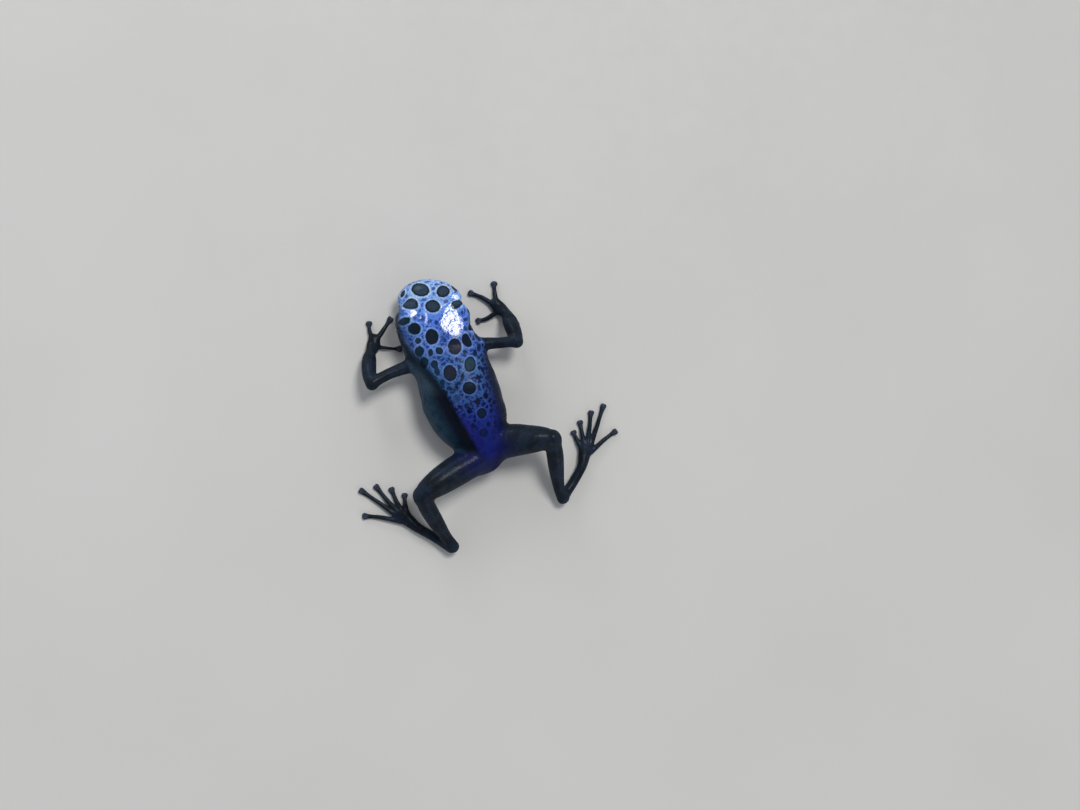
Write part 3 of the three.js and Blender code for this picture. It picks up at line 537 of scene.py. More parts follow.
def mesh_from(name, points, faces_list):
    """A mesh object from points in mm of the solids' source frame and arrays of faces."""
    me = bpy.data.meshes.new(name)
    points = (points - ORIGIN) * 0.001
    counts = np.concatenate([np.full(len(f), f.shape[1]) for f in faces_list])
    loops = np.concatenate([f.ravel() for f in faces_list])
    me.vertices.add(len(points))
    me.vertices.foreach_set("co", points.astype(np.float32).ravel())
    me.loops.add(len(loops))
    me.loops.foreach_set("vertex_index", loops.astype(np.int32))
    me.polygons.add(len(counts))
    me.polygons.foreach_set("loop_start", np.concatenate([[0], np.cumsum(counts)[:-1]]).astype(np.int32))
    me.update(calc_edges=True)
    me.validate()
    ob = bpy.data.objects.new(name, me)
    bpy.context.scene.collection.objects.link(ob)
    return ob


def set_smooth(me):
    me.polygons.foreach_set("use_smooth", np.ones(len(me.polygons), bool))
    me.update()


def attribute(me, name, values):
    a = me.attributes.new(name, "FLOAT", "POINT")
    a.data.foreach_set("value", np.asarray(values, np.float32))


def points_of(me):
    co = np.empty(len(me.vertices) * 3, np.float32)
    me.vertices.foreach_get("co", co)
    return co.reshape(-1, 3).astype(float) * 1000 + ORIGIN


def normals_of(me):
    no = np.empty(len(me.vertices) * 3, np.float32)
    me.vertex_normals.foreach_get("vector", no)
    return no.reshape(-1, 3).astype(float)


def make_skin():
    body, skin = make_fields()
    grid = vdb.FloatGrid(BAND)
    grid.copyFromArray(skin)
    grid.transform = SPACE
    points, tris, quads = grid.convertToPolygons(isovalue=0.0, adaptivity=0.0)
    points = np.array(points, float) + LOW
    faces = [np.array(f) for f in (quads, tris) if len(f)]
    ob = mesh_from("skin", points, faces)
    me = ob.data
    # turn the faces outwards
    bm_volume = 0.0
    p = points_of(me)
    q = faces[0]
    a, b, c = p[q[:, 0]], p[q[:, 1]], p[q[:, 2]]
    bm_volume = float(np.einsum("ij,ij->i", a, np.cross(b, c)).sum())
    if bm_volume < 0:
        me.flip_normals()
    triangles = sum(len(f) * (f.shape[1] - 2) for f in faces)
    print("SKIN", len(points), "points", triangles, "triangles, volume sign", bm_volume > 0)
    if triangles > MOST_TRIANGLES:
        thin = ob.modifiers.new("thin", "DECIMATE")
        thin.ratio = MOST_TRIANGLES / triangles
        thin.use_collapse_triangulate = True
        bpy.context.view_layer.objects.active = ob
        ob.select_set(True)
        bpy.ops.object.modifier_apply(modifier="thin")
        me = ob.data
        print("THINNED", len(me.vertices), len(me.polygons))
    set_smooth(me)
    return ob, body


# ---------------------------------------------------------------- markings
# Round dark spots of the back and head: x, y, width, height in pixels of the camera's frame, tilt in
# degrees, tone (0 black-green, 1 grey-green, -1 brown-grey) and strength.
SPOTS = [
    (420.2, 289.2, 18.4, 13.0, 8, 0.35, 1), (443.3, 291.2, 13.4, 11.8, -10, -0.4, 1), (410.2, 303.8, 16.2, 10.6, -3, -0.3, 1),
    (432.8, 306.2, 15.4, 12.6, 8, 0.0, 1), (457.2, 302.8, 11.6, 8.0, -12, 0.1, 1), (414.4, 328.9, 13.2, 12.0, 0, 0.15, 1),
    (431.9, 336.8, 13.4, 16.0, -6, -0.2, 1), (454.7, 346.8, 13.6, 16.8, 0, -0.7, 1), (466.9, 340.4, 8.2, 14.6, -22, -0.1, 1),
    (469.6, 326.4, 5.4, 9.4, -24, 0.0, 1), (470.2, 364.2, 11.4, 15.4, 6, 1.0, 1), (450.1, 373.0, 13.6, 16.4, -8, -1.0, 1),
    (469.4, 388.0, 13.4, 13.2, 0, 0.3, 1), (481.8, 413.4, 9.8, 10.4, 0, 0.4, 0.95), (483.9, 432.6, 9.4, 8.4, 30, 0.2, 0.7),
    (456.6, 398.4, 8.4, 9.4, 0, 0.9, 0.45), (419.2, 351.4, 9.4, 10.4, 10, 0.1, 1), (424.0, 362.6, 8.6, 11.4, 0, 0.2, 1),
    (404.2, 321.4, 7.6, 7.6, 0, 0.3, 1), (439.4, 351.0, 8.2, 7.4, 0, 0.6, 1), (430.5, 352.6, 5.2, 8.0, 0, 0.0, 0.95),
    (434.6, 364.2, 7.4, 8.6, -10, 0.2, 0.95), (437.0, 371.4, 5.8, 8.8, -20, 0.0, 0.9), (418.0, 340.8, 6.6, 6.4, -25, 0.1, 0.95),
]
# Small dark-blue blotches between them: x, y, width, height, strength.
BLOTCHES = [
    (423.3, 299.7, 4.4, 3.0, 0.8), (419.7, 310.4, 3.6, 3.0, 0.8), (433.6, 288.6, 4.0, 3.2, 0.75), (433.8, 294.2, 3.6, 3.0, 0.6), (436.4, 284.6, 5.0, 2.4, 0.8),
    (427.8, 281.6, 5.8, 1.8, 0.8), (409.0, 284.6, 4.0, 3.6, 0.9), (405.4, 295.8, 6.0, 3.6, 0.9), (403.2, 290.6, 2.6, 4.4, 0.8), (456.0, 291.4, 3.0, 3.4, 0.8),
    (446.2, 301.4, 4.6, 4.0, 0.9), (422.2, 318.0, 5.2, 5.2, 0.8), (430.0, 320.8, 3.8, 4.2, 0.85), (436.4, 322.8, 4.8, 4.2, 0.85), (414.0, 318.2, 5.6, 2.8, 0.7),
    (401.2, 312.4, 3.0, 7.6, 0.7), (463.2, 311.8, 3.2, 4.2, 0.9), (465.8, 319.4, 3.4, 3.8, 0.9), (465.4, 328.8, 2.8, 4.6, 0.8), (473.9, 337.6, 3.0, 6.2, 0.9),
    (478.8, 346.8, 4.0, 7.6, 0.9), (475.0, 352.6, 4.4, 7.8, 0.95), (464.9, 352.2, 4.4, 4.6, 0.85), (423.9, 343.9, 2.8, 3.2, 0.8), (439.0, 359.2, 4.2, 2.8, 0.8),
    (448.4, 359.2, 5.2, 3.8, 0.9), (456.9, 359.2, 4.6, 4.0, 0.85), (482.8, 360.4, 3.0, 6.0, 0.9), (482.9, 369.6, 4.2, 5.4, 0.95), (442.6, 338.4, 2.8, 5.4, 0.6),
    (444.4, 333.8, 2.8, 3.4, 0.6), (447.9, 335.2, 4.2, 2.8, 0.6), (457.0, 335.2, 6.0, 2.8, 0.85), (458.8, 321.8, 3.2, 7.0, 0.55), (462.6, 376.0, 4.8, 3.6, 0.95),
    (469.7, 375.6, 4.2, 3.0, 0.9), (478.2, 377.4, 6.0, 4.6, 0.95), (461.7, 381.0, 3.0, 2.6, 0.9), (442.4, 382.4, 5.6, 5.8, 0.95), (448.3, 383.7, 4.0, 2.8, 0.9),
    (451.4, 389.2, 4.4, 3.2, 0.9), (456.4, 386.8, 3.6, 5.6, 0.95), (454.6, 390.6, 3.0, 2.6, 0.8), (485.8, 395.4, 5.6, 7.0, 1.0), (477.8, 401.6, 5.4, 7.6, 0.95),
    (481.4, 398.4, 2.8, 3.4, 0.9), (484.0, 403.4, 4.2, 3.2, 0.9), (466.6, 406.0, 5.6, 5.8, 0.8), (462.5, 410.0, 3.2, 3.0, 0.7), (469.3, 411.0, 5.4, 6.2, 0.95),
    (470.6, 402.0, 2.8, 5.2, 0.7), (474.2, 420.8, 3.0, 3.6, 0.95), (472.9, 426.2, 5.4, 5.6, 0.8), (488.5, 424.4, 4.6, 5.2, 0.85), (445.2, 326.6, 3.0, 4.0, 0.5),
    (426.4, 326.4, 3.4, 2.6, 0.6), (441.6, 316.0, 3.6, 3.0, 0.6), (449.0, 285.4, 3.0, 2.4, 0.7), (417.6, 281.0, 3.0, 1.8, 0.7), (461.0, 361.6, 3.0, 3.4, 0.7),
    (459.0, 368.4, 2.8, 4.4, 0.7), (478.6, 386.4, 3.4, 3.6, 0.85), (460.4, 392.0, 3.0, 3.0, 0.7), (474.8, 394.8, 3.6, 3.2, 0.8), (478.6, 357.4, 3.2, 4.2, 0.85),
    (491.0, 411.0, 3.4, 5.2, 0.8), (486.8, 384.6, 3.6, 5.0, 0.85), (463.0, 418.6, 3.4, 3.2, 0.6), (479.6, 423.4, 2.8, 2.6, 0.5), (446.2, 344.8, 2.6, 3.8, 0.6),
]
# Spots on the sides, which the camera doesn't see: along, side, height, radius in mm, tone and strength.
SIDE_SPOTS = [
    (2.6, 1, 5.6, 0.7, 0.2, 1), (2.4, -1, 5.5, 0.75, -0.2, 1), (5.2, 1, 4.7, 0.45, 0.0, 0.8), (4.8, -1, 4.9, 0.5, 0.0, 0.8), (10.6, -1, 5.0, 0.55, 0.0, 0.8),
    (13.4, -1, 6.9, 0.95, 0.0, 0.9), (17.9, -1, 6.0, 1.3, -0.2, 0.8), (22.4, -1, 7.5, 0.85, 0.2, 0.7), (26.3, -1, 5.7, 1.05, 0.0, 0.6), (30.9, -1, 6.9, 0.7, 0.1, 0.5),
    (15.1, -1, 3.2, 0.6, 0.0, 0.6), (21.0, -1, 3.7, 0.8, 0.0, 0.6), (29.0, -1, 3.9, 0.6, 0.0, 0.5),
    (16.4, 1, 4.4, 0.8, 0.1, 0.6), (20.9, 1, 5.0, 0.95, 0.0, 0.6), (26.8, 1, 4.5, 0.85, 0.0, 0.5), (23.4, 1, 2.9, 0.6, 0.0, 0.5), (18.3, 1, 2.4, 0.5, 0.0, 0.5),
    (3.6, 1, 2.8, 0.55, 0.0, 0.7), (8.2, 1, 2.5, 0.7, 0.0, 0.7), (3.0, -1, 2.9, 0.5, 0.0, 0.7), (7.6, -1, 2.6, 0.75, 0.0, 0.7), (11.0, 1, 2.2, 0.5, 0.0, 0.6),
]
# Wettest places: x, y, width, height in pixels, tilt and strength.
WET = [(450, 318, 26, 39, -12, 1.0), (413, 313.5, 15, 6, 25, 1.0), (446, 307, 12, 8, 0, 1.0), (456, 296, 6, 6, 0, 1.0)]
# Where the blue of the back ends: behind the snout, share of the half width.
BLUE_LEFT = profile([(0, 1.4), (6.4, 1.4), (7.6, 1.12), (9, 0.97), (10.9, 0.90), (12.3, 0.86), (13.5, 0.81), (15.1, 0.72), (17.1, 0.64), (19.8, 0.53), (22.2, 0.43), (24.5, 0.35), (26.6, 0.32), (31.1, 0.28), (33.4, 0.26), (35.2, 0.2), (37, 0.12), (40.8, -0.1)])
BLUE_RIGHT = profile([(0, 1.5), (10, 1.3), (15, 1.05), (17.3, 0.96), (19.4, 0.88), (21.3, 0.79), (23.4, 0.73), (27.5, 0.71), (31.4, 0.72), (34.3, 0.82), (37, 0.85), (40.8, 0.7)])


def frame_on(no):
    """Two directions that lie in the surface with that normal."""
    t = np.cross(no, [0, 0, 1.0] if abs(no[2]) < 0.9 else [0, 1.0, 0])
    t /= np.linalg.norm(t)
    return t, np.cross(no, t)


def mark(ob, body):
    """Writes what the skin's material is drawn from, as numbers on its points."""
    me = ob.data
    p, no = points_of(me), normals_of(me)
    polys = np.empty(len(me.loops), np.int32)
    me.loops.foreach_get("vertex_index", polys)
    start = np.empty(len(me.polygons), np.int32)
    me.polygons.foreach_get("loop_start", start)
    total = np.empty(len(me.polygons), np.int32)
    me.polygons.foreach_get("loop_total", total)
    tree = BVHTree.FromPolygons([Vector(v) for v in p], [polys[a : a + n].tolist() for a, n in zip(start, total)])

    spot, tone, strength = np.full(len(p), 9.0), np.zeros(len(p)), np.zeros(len(p))
    blotch, blotch_strength = np.full(len(p), 9.0), np.zeros(len(p))

    def lay(centre, normal, u, v, size, field):
        """Signed mm to the edge of an ellipse with half axes u and v on the surface."""
        reach = 2.6 * max(np.linalg.norm(u), np.linalg.norm(v)) + 1.2
        near = np.where((np.abs(p - centre) < reach).all(1) & (no @ normal > -0.2))[0]
        d = p[near] - centre
        deep = d @ normal
        flat = d - deep[:, None] * normal
        g = np.array([[u @ u, u @ v], [u @ v, v @ v]])
        ab = np.stack([flat @ u, flat @ v], 1) @ np.linalg.inv(g)
        r = np.sqrt((ab**2).sum(1) + (deep / (1.7 * size)) ** 2)
        return near, (r - 1) * size

    def on_view(x, y, w, h, tilt):
        loc, normal, _, _ = tree.ray_cast(Vector(CAM_PLACE), Vector(pixel_ray(x, y)))
        if loc is None:
            return None
        centre, normal = np.array(loc), np.array(normal)
        near = np.where(np.abs(p - centre).max(1) < 1.0)[0]
        if len(near) > 3:
            normal = no[near].mean(0)
        normal /= np.linalg.norm(normal)
        view = pixel_ray(x, y)
        if abs(normal @ view) < 0.5:  # a spot on a steep side isn't drawn out any further
            normal = normal - view * (0.5 + normal @ view)
            normal /= np.linalg.norm(normal)
        t = math.radians(tilt)
        axes = []
        for dx, dy in ((w / 2 * math.cos(t), w / 2 * math.sin(t)), (-h / 2 * math.sin(t), h / 2 * math.cos(t))):
            ray = pixel_ray(x + dx, y + dy)
            axes.append(CAM_PLACE + ray * ((centre - CAM_PLACE) @ normal) / (ray @ normal) - centre)
        return centre, normal, axes[0], axes[1]

    placed = []
    for x, y, w, h, tilt, tn, st in SPOTS:
        found = on_view(x, y, w, h, tilt)
        if found is None:
            print("spot off the skin", x, y)
            continue
        placed.append((*found, math.sqrt(w * h) / 2 * MM_PER_PX, tn, st))
    for s, side, z, r, tn, st in SIDE_SPOTS:
        left, forward, up = head_axes(s)
        loc, normal, _, _ = tree.ray_cast(Vector(head_point(s, 14.0 * side, z)), Vector(-left * side))
        if loc is None:
            continue
        centre, normal = np.array(loc), np.array(normal)
        a, b = frame_on(normal)
        placed.append((centre, normal, a * r * 1.12, b * r * 0.94, r, tn, st))
    for centre, normal, u, v, size, tn, st in placed:
        near, d = lay(centre, normal, u, v, size, spot)
        closer = d < spot[near]
        spot[near] = np.where(closer, d, spot[near])
        tone[near] = np.where(closer, tn, tone[near])
        strength[near] = np.where(closer, st, strength[near])
    for x, y, w, h, st in BLOTCHES:
        found = on_view(x, y, w, h, 0)
        if found is None:
            print("blotch off the skin", x, y)
            continue
        near, d = lay(*found, math.sqrt(w * h) / 2 * MM_PER_PX, blotch)
        closer = d < blotch[near]
        blotch[near] = np.where(closer, d, blotch[near])
        blotch_strength[near] = np.where(closer, st, blotch_strength[near])

    s, across = body_coords(p)
    half, side_z, top, bottom = body_numbers(s)
    half = np.maximum(half, 2.0)
    share = np.abs(across) / half
    # below the widest line the share keeps growing, so that the field ends on the sides
    below = np.clip((side_z + 1.5 - p[:, 2]) / 4.0, 0, 1.2)
    limit = np.where(across > 0, BLUE_LEFT(s), BLUE_RIGHT(s))
    flank = (share + below * 0.35 - limit) * half
    off_body = sample(body, p)
    px = to_pixels(p)
    attribute(me, "spot", np.clip(spot, -3, 3))
    attribute(me, "tone", tone)
    attribute(me, "spot_strength", strength)
    attribute(me, "blotch", np.clip(blotch, -2, 2))
    attribute(me, "blotch_strength", blotch_strength)
    attribute(me, "flank", np.clip(flank, -6, 9))
    attribute(me, "left", smooth(-0.6, 0.6, across))
    attribute(me, "along", s)
    # the colour of the back runs on over the root of the right thigh
    over_root = smooth(-5.8, -3.4, across) * (1 - smooth(-1.4, 1.0, across)) * smooth(27, 31, s) * (1 - smooth(36.0, 39.5, s)) * smooth(5.0, 7.0, p[:, 2])
    attribute(me, "limb", np.clip(off_body - BAND * over_root, 0, BAND))
    attribute(me, "under", -no[:, 2])
    on_head = (1 - smooth(MOUTH_LENGTH - 0.7, MOUTH_LENGTH + 0.3, s)) * (off_body < 0.6)
    attribute(me, "mouth", on_head * np.exp(-(((p[:, 2] - mouth_height(s)) / 0.16) ** 2)))
    attribute(me, "jaw", smooth(0.1, 0.7, mouth_height(s) - p[:, 2]) * (1 - smooth(15, 18, s)))
    pits = np.zeros(len(p))
    for n in MARKS["nostril"]:
        pits = np.maximum(pits, 1 - smooth(0.16, 0.38, np.linalg.norm(p - n, axis=1)))
    attribute(me, "nostril", pits)
    drum = np.zeros(len(p))
    for n in MARKS["eardrum"]:
        drum = np.maximum(drum, 1 - smooth(0.75, 1.15, np.linalg.norm(p - n, axis=1)))
    attribute(me, "eardrum", drum)
    # disc tops: the discs' own paler tone, with a painted highlight kept to their upper sides
    discs = np.zeros(len(p))
    for n in MARKS["disc"]:
        discs = np.maximum(discs, 1 - smooth(0.35, 1.0, np.linalg.norm(p - n, axis=1)))
    attribute(me, "disc", discs * smooth(0.0, 0.6, no[:, 2]))
    attribute(me, "hip", (1 - smooth(3.2, 8.8, np.linalg.norm((p - [-1.3, 13.6, 6.4]) * [1, 1.2, 1], axis=1))) * smooth(3.0, 6.0, p[:, 2]))
    lids = np.zeros(len(p))
    for sd in (1, -1):
        c, axis = head_point(EYE["s"], EYE["lat"] * sd, EYE["z"]), eye_axis(sd)
        d = p - c
        r = np.linalg.norm(d, axis=1)
        angle = np.arccos(np.clip(d @ axis / np.maximum(r, 1e-6), -1, 1))
        over = np.cross(axis, np.cross([0, 0, 1.0], axis))
        over /= np.linalg.norm(over)
        limit = lid_limit((d @ over) / np.maximum(r * np.sin(angle), 1e-6))
        lids = np.maximum(lids, (1 - smooth(0.02, 0.24, angle - limit)) * (r < EYE["radius"] + 0.5) * (angle < 1.5))
    attribute(me, "lid", lids)
    # the film of water: on the head and neck, less on the back, flanks and limbs
    wet = 0.02 + 0.38 * (1 - smooth(10, 17, s)) * (off_body < 0.6)
    wet += 0.035 * smooth(0.6, 1.2, off_body)
    for x, y, w, h, tilt, gain in WET:
        found = on_view(x, y, w, h, tilt)
        if found is not None:
            near, d = lay(*found, math.sqrt(w * h) / 2 * MM_PER_PX, wet)
            wet[near] = np.maximum(wet[near], gain * (1 - smooth(-0.5, 1.0, d)))
    attribute(me, "wet", np.clip(wet, 0, 1))


# ---------------------------------------------------------------- materials
def lin(r, g, b):
    f = lambda c: c / 12.92 if c <= 0.04045 else ((c + 0.055) / 1.055) ** 2.4
    return (f(r / 255), f(g / 255), f(b / 255), 1.0)


class Net:
    """A material's nodes, with each step as one short call. Inputs are sockets, numbers or colours."""

    def __init__(self, name):
        self.mat = bpy.data.materials.new(name)
        self.mat.use_nodes = True
        self.tree = self.mat.node_tree
        self.tree.nodes.clear()
        self.shader = self.tree.nodes.new("ShaderNodeBsdfPrincipled")
        out = self.tree.nodes.new("ShaderNodeOutputMaterial")
        self.tree.links.new(self.shader.outputs["BSDF"], out.inputs["Surface"])

    def put(self, socket, value):
        if isinstance(value, bpy.types.NodeSocket):
            self.tree.links.new(value, socket)
        elif value is not None:
            socket.default_value = value

    def node(self, kind, **settings):
        n = self.tree.nodes.new(kind)
        for k, v in settings.items():
            setattr(n, k, v)
        return n

    def attr(self, name):
        return self.node("ShaderNodeAttribute", attribute_name=name).outputs["Fac"]

    def math(self, op, a, b=None, c=None, clamp=False):
        n = self.node("ShaderNodeMath", operation=op, use_clamp=clamp)
        for i, v in enumerate((a, b, c)):
            if v is not None:
                self.put(n.inputs[i], v)
        return n.outputs[0]

    def add(self, a, b):
        return self.math("ADD", a, b)

    def mul(self, a, b):
        return self.math("MULTIPLY", a, b)

    def inv(self, a):
        return self.math("SUBTRACT", 1.0, a, clamp=True)

    def step(self, x, lo, hi, to_lo=0.0, to_hi=1.0):
        n = self.node("ShaderNodeMapRange", interpolation_type="SMOOTHSTEP")
        for k, v in (("Value", x), ("From Min", lo), ("From Max", hi), ("To Min", to_lo), ("To Max", to_hi)):
            self.put(n.inputs[k], v)
        return n.outputs["Result"]

    def mix(self, fac, a, b, blend="MIX"):
        n = self.node("ShaderNodeMix", data_type="RGBA", blend_type=blend)
        self.put(n.inputs[0], fac)
        self.put(n.inputs[6], a)
        self.put(n.inputs[7], b)
        return n.outputs[2]

    def ramp(self, x, stops, kind="LINEAR"):
        n = self.node("ShaderNodeValToRGB")
        n.color_ramp.interpolation = kind
        e = n.color_ramp.elements
        while len(e) < len(stops):
            e.new(0.5)
        for i, (pos, colour) in enumerate(stops):
            e[i].position = pos
            e[i].color = colour
        self.put(n.inputs[0], x)
        return n.outputs["Color"]

    def vec(self, op, a, b=None, scale=None):
        n = self.node("ShaderNodeVectorMath", operation=op)
        self.put(n.inputs[0], a)
        if b is not None:
            self.put(n.inputs[1], b)
        if scale is not None:
            self.put(n.inputs["Scale"], scale)
        return n.outputs[0]

    def place(self):
        """The surface's own place in mm."""
        return self.vec("SCALE", self.node("ShaderNodeTexCoord").outputs["Object"], scale=1000.0)

    def noise(self, vector, scale, detail=2.0, rough=0.5, out="Fac"):
        n = self.node("ShaderNodeTexNoise")
        self.put(n.inputs["Vector"], vector)
        n.inputs["Scale"].default_value = scale
        n.inputs["Detail"].default_value = detail
        n.inputs["Roughness"].default_value = rough
        return n.outputs[out]

    def voronoi(self, vector, scale, feature="F1", out="Distance", smooth_=None, random=1.0):
        n = self.node("ShaderNodeTexVoronoi", feature=feature)
        self.put(n.inputs["Vector"], vector)
        n.inputs["Scale"].default_value = scale
        n.inputs["Randomness"].default_value = random
        if smooth_ is not None:
            n.inputs["Smoothness"].default_value = smooth_
        return n.outputs[out]

    def warp(self, vector, scale, amount, detail=1.0):
        n = self.noise(vector, scale, detail, out="Color")
        return self.vec("ADD", vector, self.vec("SCALE", self.vec("SUBTRACT", n, (0.5, 0.5, 0.5)), scale=amount))

    def bump(self, height, distance, strength=1.0, normal=None):
        n = self.node("ShaderNodeBump")
        n.inputs["Distance"].default_value = distance
        n.inputs["Strength"].default_value = strength
        self.put(n.inputs["Height"], height)
        if normal is not None:
            self.put(n.inputs["Normal"], normal)
        return n.outputs["Normal"]


def along_stops(*rows):
    return [(s / BODY_LENGTH, lin(*c)) for s, c in rows]


def skin_material():
    m = Net("frog_skin")
    p = m.place()
    wobble = m.math("SUBTRACT", m.noise(p, 1.6, 3.0, 0.6), 0.5)
    fine = m.math("SUBTRACT", m.noise(p, 4.5, 2.0, 0.6), 0.5)
    along = m.math("DIVIDE", m.attr("along"), BODY_LENGTH)
    # The colours of the back darken from snout to rump: partly the frog's own deeper blue behind, partly painted light,
    # brighter on the head where the light falls most; the palest net at the snout tip is partly a painted highlight.
    line = m.ramp(along, along_stops((0, (190, 222, 255)), (4, (148, 194, 255)), (8, (104, 154, 246)), (14, (86, 128, 214)), (20, (80, 122, 180)), (26, (54, 92, 160)), (30, (38, 64, 160)), (36, (32, 48, 140)), (40.8, (20, 25, 96))))
    fill = m.ramp(along, along_stops((0, (96, 148, 242)), (5, (66, 120, 236)), (9, (44, 92, 212)), (14, (26, 60, 152)), (20, (15, 42, 106)), (26, (11, 36, 102)), (30, (18, 38, 126)), (36, (19, 31, 114)), (40.8, (12, 16, 76))))
    blot = m.ramp(along, along_stops((0, (44, 76, 150)), (8, (22, 46, 124)), (14, (8, 24, 74)), (20, (3, 15, 48)), (26, (2, 12, 50)), (32, (4, 8, 54)), (40.8, (3, 4, 28))))
    halo = m.ramp(along, along_stops((0, (214, 238, 255)), (8, (164, 206, 255)), (14, (118, 158, 232)), (20, (98, 134, 196)), (26, (68, 96, 172)), (32, (26, 38, 134)), (40.8, (12, 14, 76))))

    # light net with darker cells
    bent = m.warp(p, 1.1, 0.85, 2.0)
    cells = m.voronoi(bent, 0.98, "DISTANCE_TO_EDGE")
    seed = m.node("ShaderNodeTexVoronoi", feature="F1")
    m.put(seed.inputs["Vector"], bent)
    seed.inputs["Scale"].default_value = 0.98
    seeds = seed.outputs["Distance"]
    own = m.node("ShaderNodeSeparateColor")
    m.put(own.inputs[0], seed.outputs["Color"])
    ridge = m.add(cells, m.mul(fine, 0.08))
    net = m.mul(m.step(ridge, 0.27, 0.02), m.step(m.attr("along"), 34.0, 27.0, 0.1, 1.0))
    colour = m.mix(m.add(m.mul(net, 0.85), m.mul(wobble, 0.4)), fill, line)
    clear = m.mul(m.step(m.attr("spot"), 0.2, 0.55), m.step(m.attr("blotch"), 0.25, 0.5, 0.2, 1.0))
    chosen = m.step(m.add(own.outputs[0], m.step(m.attr("along"), 14.0, 7.0, 0.0, -0.3)), 0.42, 0.5)
    freckle = m.mul(m.mul(m.step(m.add(seeds, m.mul(fine, 0.14)), 0.52, 0.36), chosen), clear)
    colour = m.mix(m.mul(freckle, m.mul(m.step(m.attr("along"), 8.0, 17.0, 0.5, 1.0), m.step(m.attr("along"), 35.0, 29.0, 0.25, 1.0))), colour, blot)
    # listed blotches
    edge = m.add(m.attr("blotch"), m.add(m.mul(wobble, 0.3), m.mul(fine, 0.2)))
    colour = m.mix(m.mul(m.step(edge, 0.12, -0.12), m.attr("blotch_strength")), colour, blot)
    # pale rings, then the spots
    edge = m.add(m.attr("spot"), m.add(m.mul(wobble, 0.26), m.mul(fine, 0.14)))
    ring = m.mul(m.step(edge, 0.5, 0.14), m.attr("spot_strength"))
    colour = m.mix(m.mul(ring, m.step(m.noise(p, 0.9, 2.0), 0.35, 0.65, 0.45, 0.9)), colour, halo)
    tone = m.add(m.attr("tone"), m.mul(wobble, 0.6))
    inside = m.ramp(m.math("MULTIPLY_ADD", tone, 0.4, 0.5), [(0.0, lin(40, 43, 60)), (0.4, lin(17, 29, 52)), (0.55, lin(9, 27, 44)), (0.75, lin(30, 56, 72)), (1.0, lin(44, 72, 88))])
    inside = m.mix(m.step(edge, -0.42, -0.04), inside, lin(10, 18, 34))
    # Spots darken towards the rump and grow paler in the middle on the snout: partly their own tone, partly the same
    # painted fall of light from head to rump.
    inside = m.mix(m.step(m.attr("along"), 18.0, 26.0, 0.0, 0.6), inside, lin(2, 14, 40))
    inside = m.mix(m.mul(m.step(m.attr("along"), 9.5, 5.5, 0.0, 0.26), m.step(edge, -0.1, -0.6)), inside, lin(84, 112, 138))
    colour = m.mix(m.mul(m.step(edge, 0.09, -0.09), m.attr("spot_strength")), colour, inside)

    # flanks: a black band beside the blue, then slate and teal lower down, made lighter on the outer flank partly as a
    # painted sheen
    flank = m.add(m.attr("flank"), m.add(m.mul(wobble, 0.9), m.mul(fine, 0.35)))
    side = m.ramp(m.math("DIVIDE", m.math("MAXIMUM", flank, 0.0), 7.0), [(0.0, lin(2, 10, 36)), (0.1, lin(1, 6, 20)), (0.3, lin(3, 15, 34)), (0.55, lin(26, 60, 82)), (0.8, lin(38, 70, 90)), (1.0, lin(18, 40, 62))])
    side = m.mix(m.step(m.noise(p, 0.55, 3.0, 0.55), 0.45, 0.7, 0.0, 0.45), side, lin(8, 17, 36))
    side = m.mix(m.mul(m.mul(m.step(flank, 2.6, 0.6), m.attr("left")), m.step(m.attr("along"), 24.0, 16.0, 0.0, 0.75)), side, lin(20, 46, 66))
    # painted highlight: a pale slate band along the outer left flank
    side = m.mix(m.mul(m.mul(m.step(flank, 1.0, 2.4), m.attr("left")), m.mul(m.step(m.attr("along"), 14.0, 16.5), m.step(m.attr("along"), 23.5, 20.0, 0.0, 0.72))), side, lin(62, 86, 106))
    side = m.mix(m.mul(m.mul(m.step(flank, 1.6, 0.3), m.inv(m.attr("left"))), m.step(m.attr("along"), 17.0, 21.0, 0.0, 0.5)), side, lin(22, 38, 80))
    side = m.mix(m.mul(m.mul(m.step(flank, 0.8, 2.2), m.inv(m.attr("left"))), m.mul(m.step(m.attr("along"), 14.0, 18.0), m.step(m.attr("along"), 31.0, 26.0, 0.0, 0.6))), side, lin(58, 80, 108))
    side = m.mix(m.mul(m.step(edge, 0.12, -0.12), m.mul(m.attr("spot_strength"), 0.85)), side, lin(4, 6, 10))
    teal = m.mul(m.step(flank, -3.3, -0.2), m.mul(m.attr("left"), m.step(m.attr("along"), 26.0, 20.0)))
    colour = m.mix(m.mul(teal, 0.72), colour, m.mix(0.55, colour, lin(14, 60, 92)))
    # painted shade: the blue darkens to deep navy towards the edge of the frog's right side
    painted_shade_right = m.mul(m.step(flank, -2.4, 0.2), m.mul(m.inv(m.attr("left")), m.step(m.attr("along"), 14.0, 19.0)))
    colour = m.mix(m.mul(painted_shade_right, 0.8), colour, lin(9, 15, 66))
    violet = m.mul(m.step(flank, -2.0, -0.3), m.mul(m.attr("left"), m.step(m.attr("along"), 24.0, 28.0)))
    colour = m.mix(m.mul(violet, 0.35), colour, lin(44, 34, 130))
    colour = m.mix(m.step(flank, -0.4, 0.7), colour, side)

    # throat and belly
    low = m.ramp(m.noise(p, 0.5, 3.0, 0.6), [(0.3, lin(14, 28, 68)), (0.55, lin(24, 50, 108)), (0.75, lin(16, 27, 58))])
    low = m.mix(m.mul(m.step(edge, 0.1, -0.1), m.attr("spot_strength")), low, lin(7, 10, 18))
    low = m.mix(m.mul(m.step(m.add(seeds, m.mul(fine, 0.15)), 0.42, 0.25), m.step(own.outputs[1], 0.5, 0.6)), low, lin(9, 14, 30))
    colour = m.mix(m.mul(m.attr("jaw"), 0.8), colour, low)
    colour = m.mix(m.step(m.attr("under"), 0.25, 0.75), colour, low)

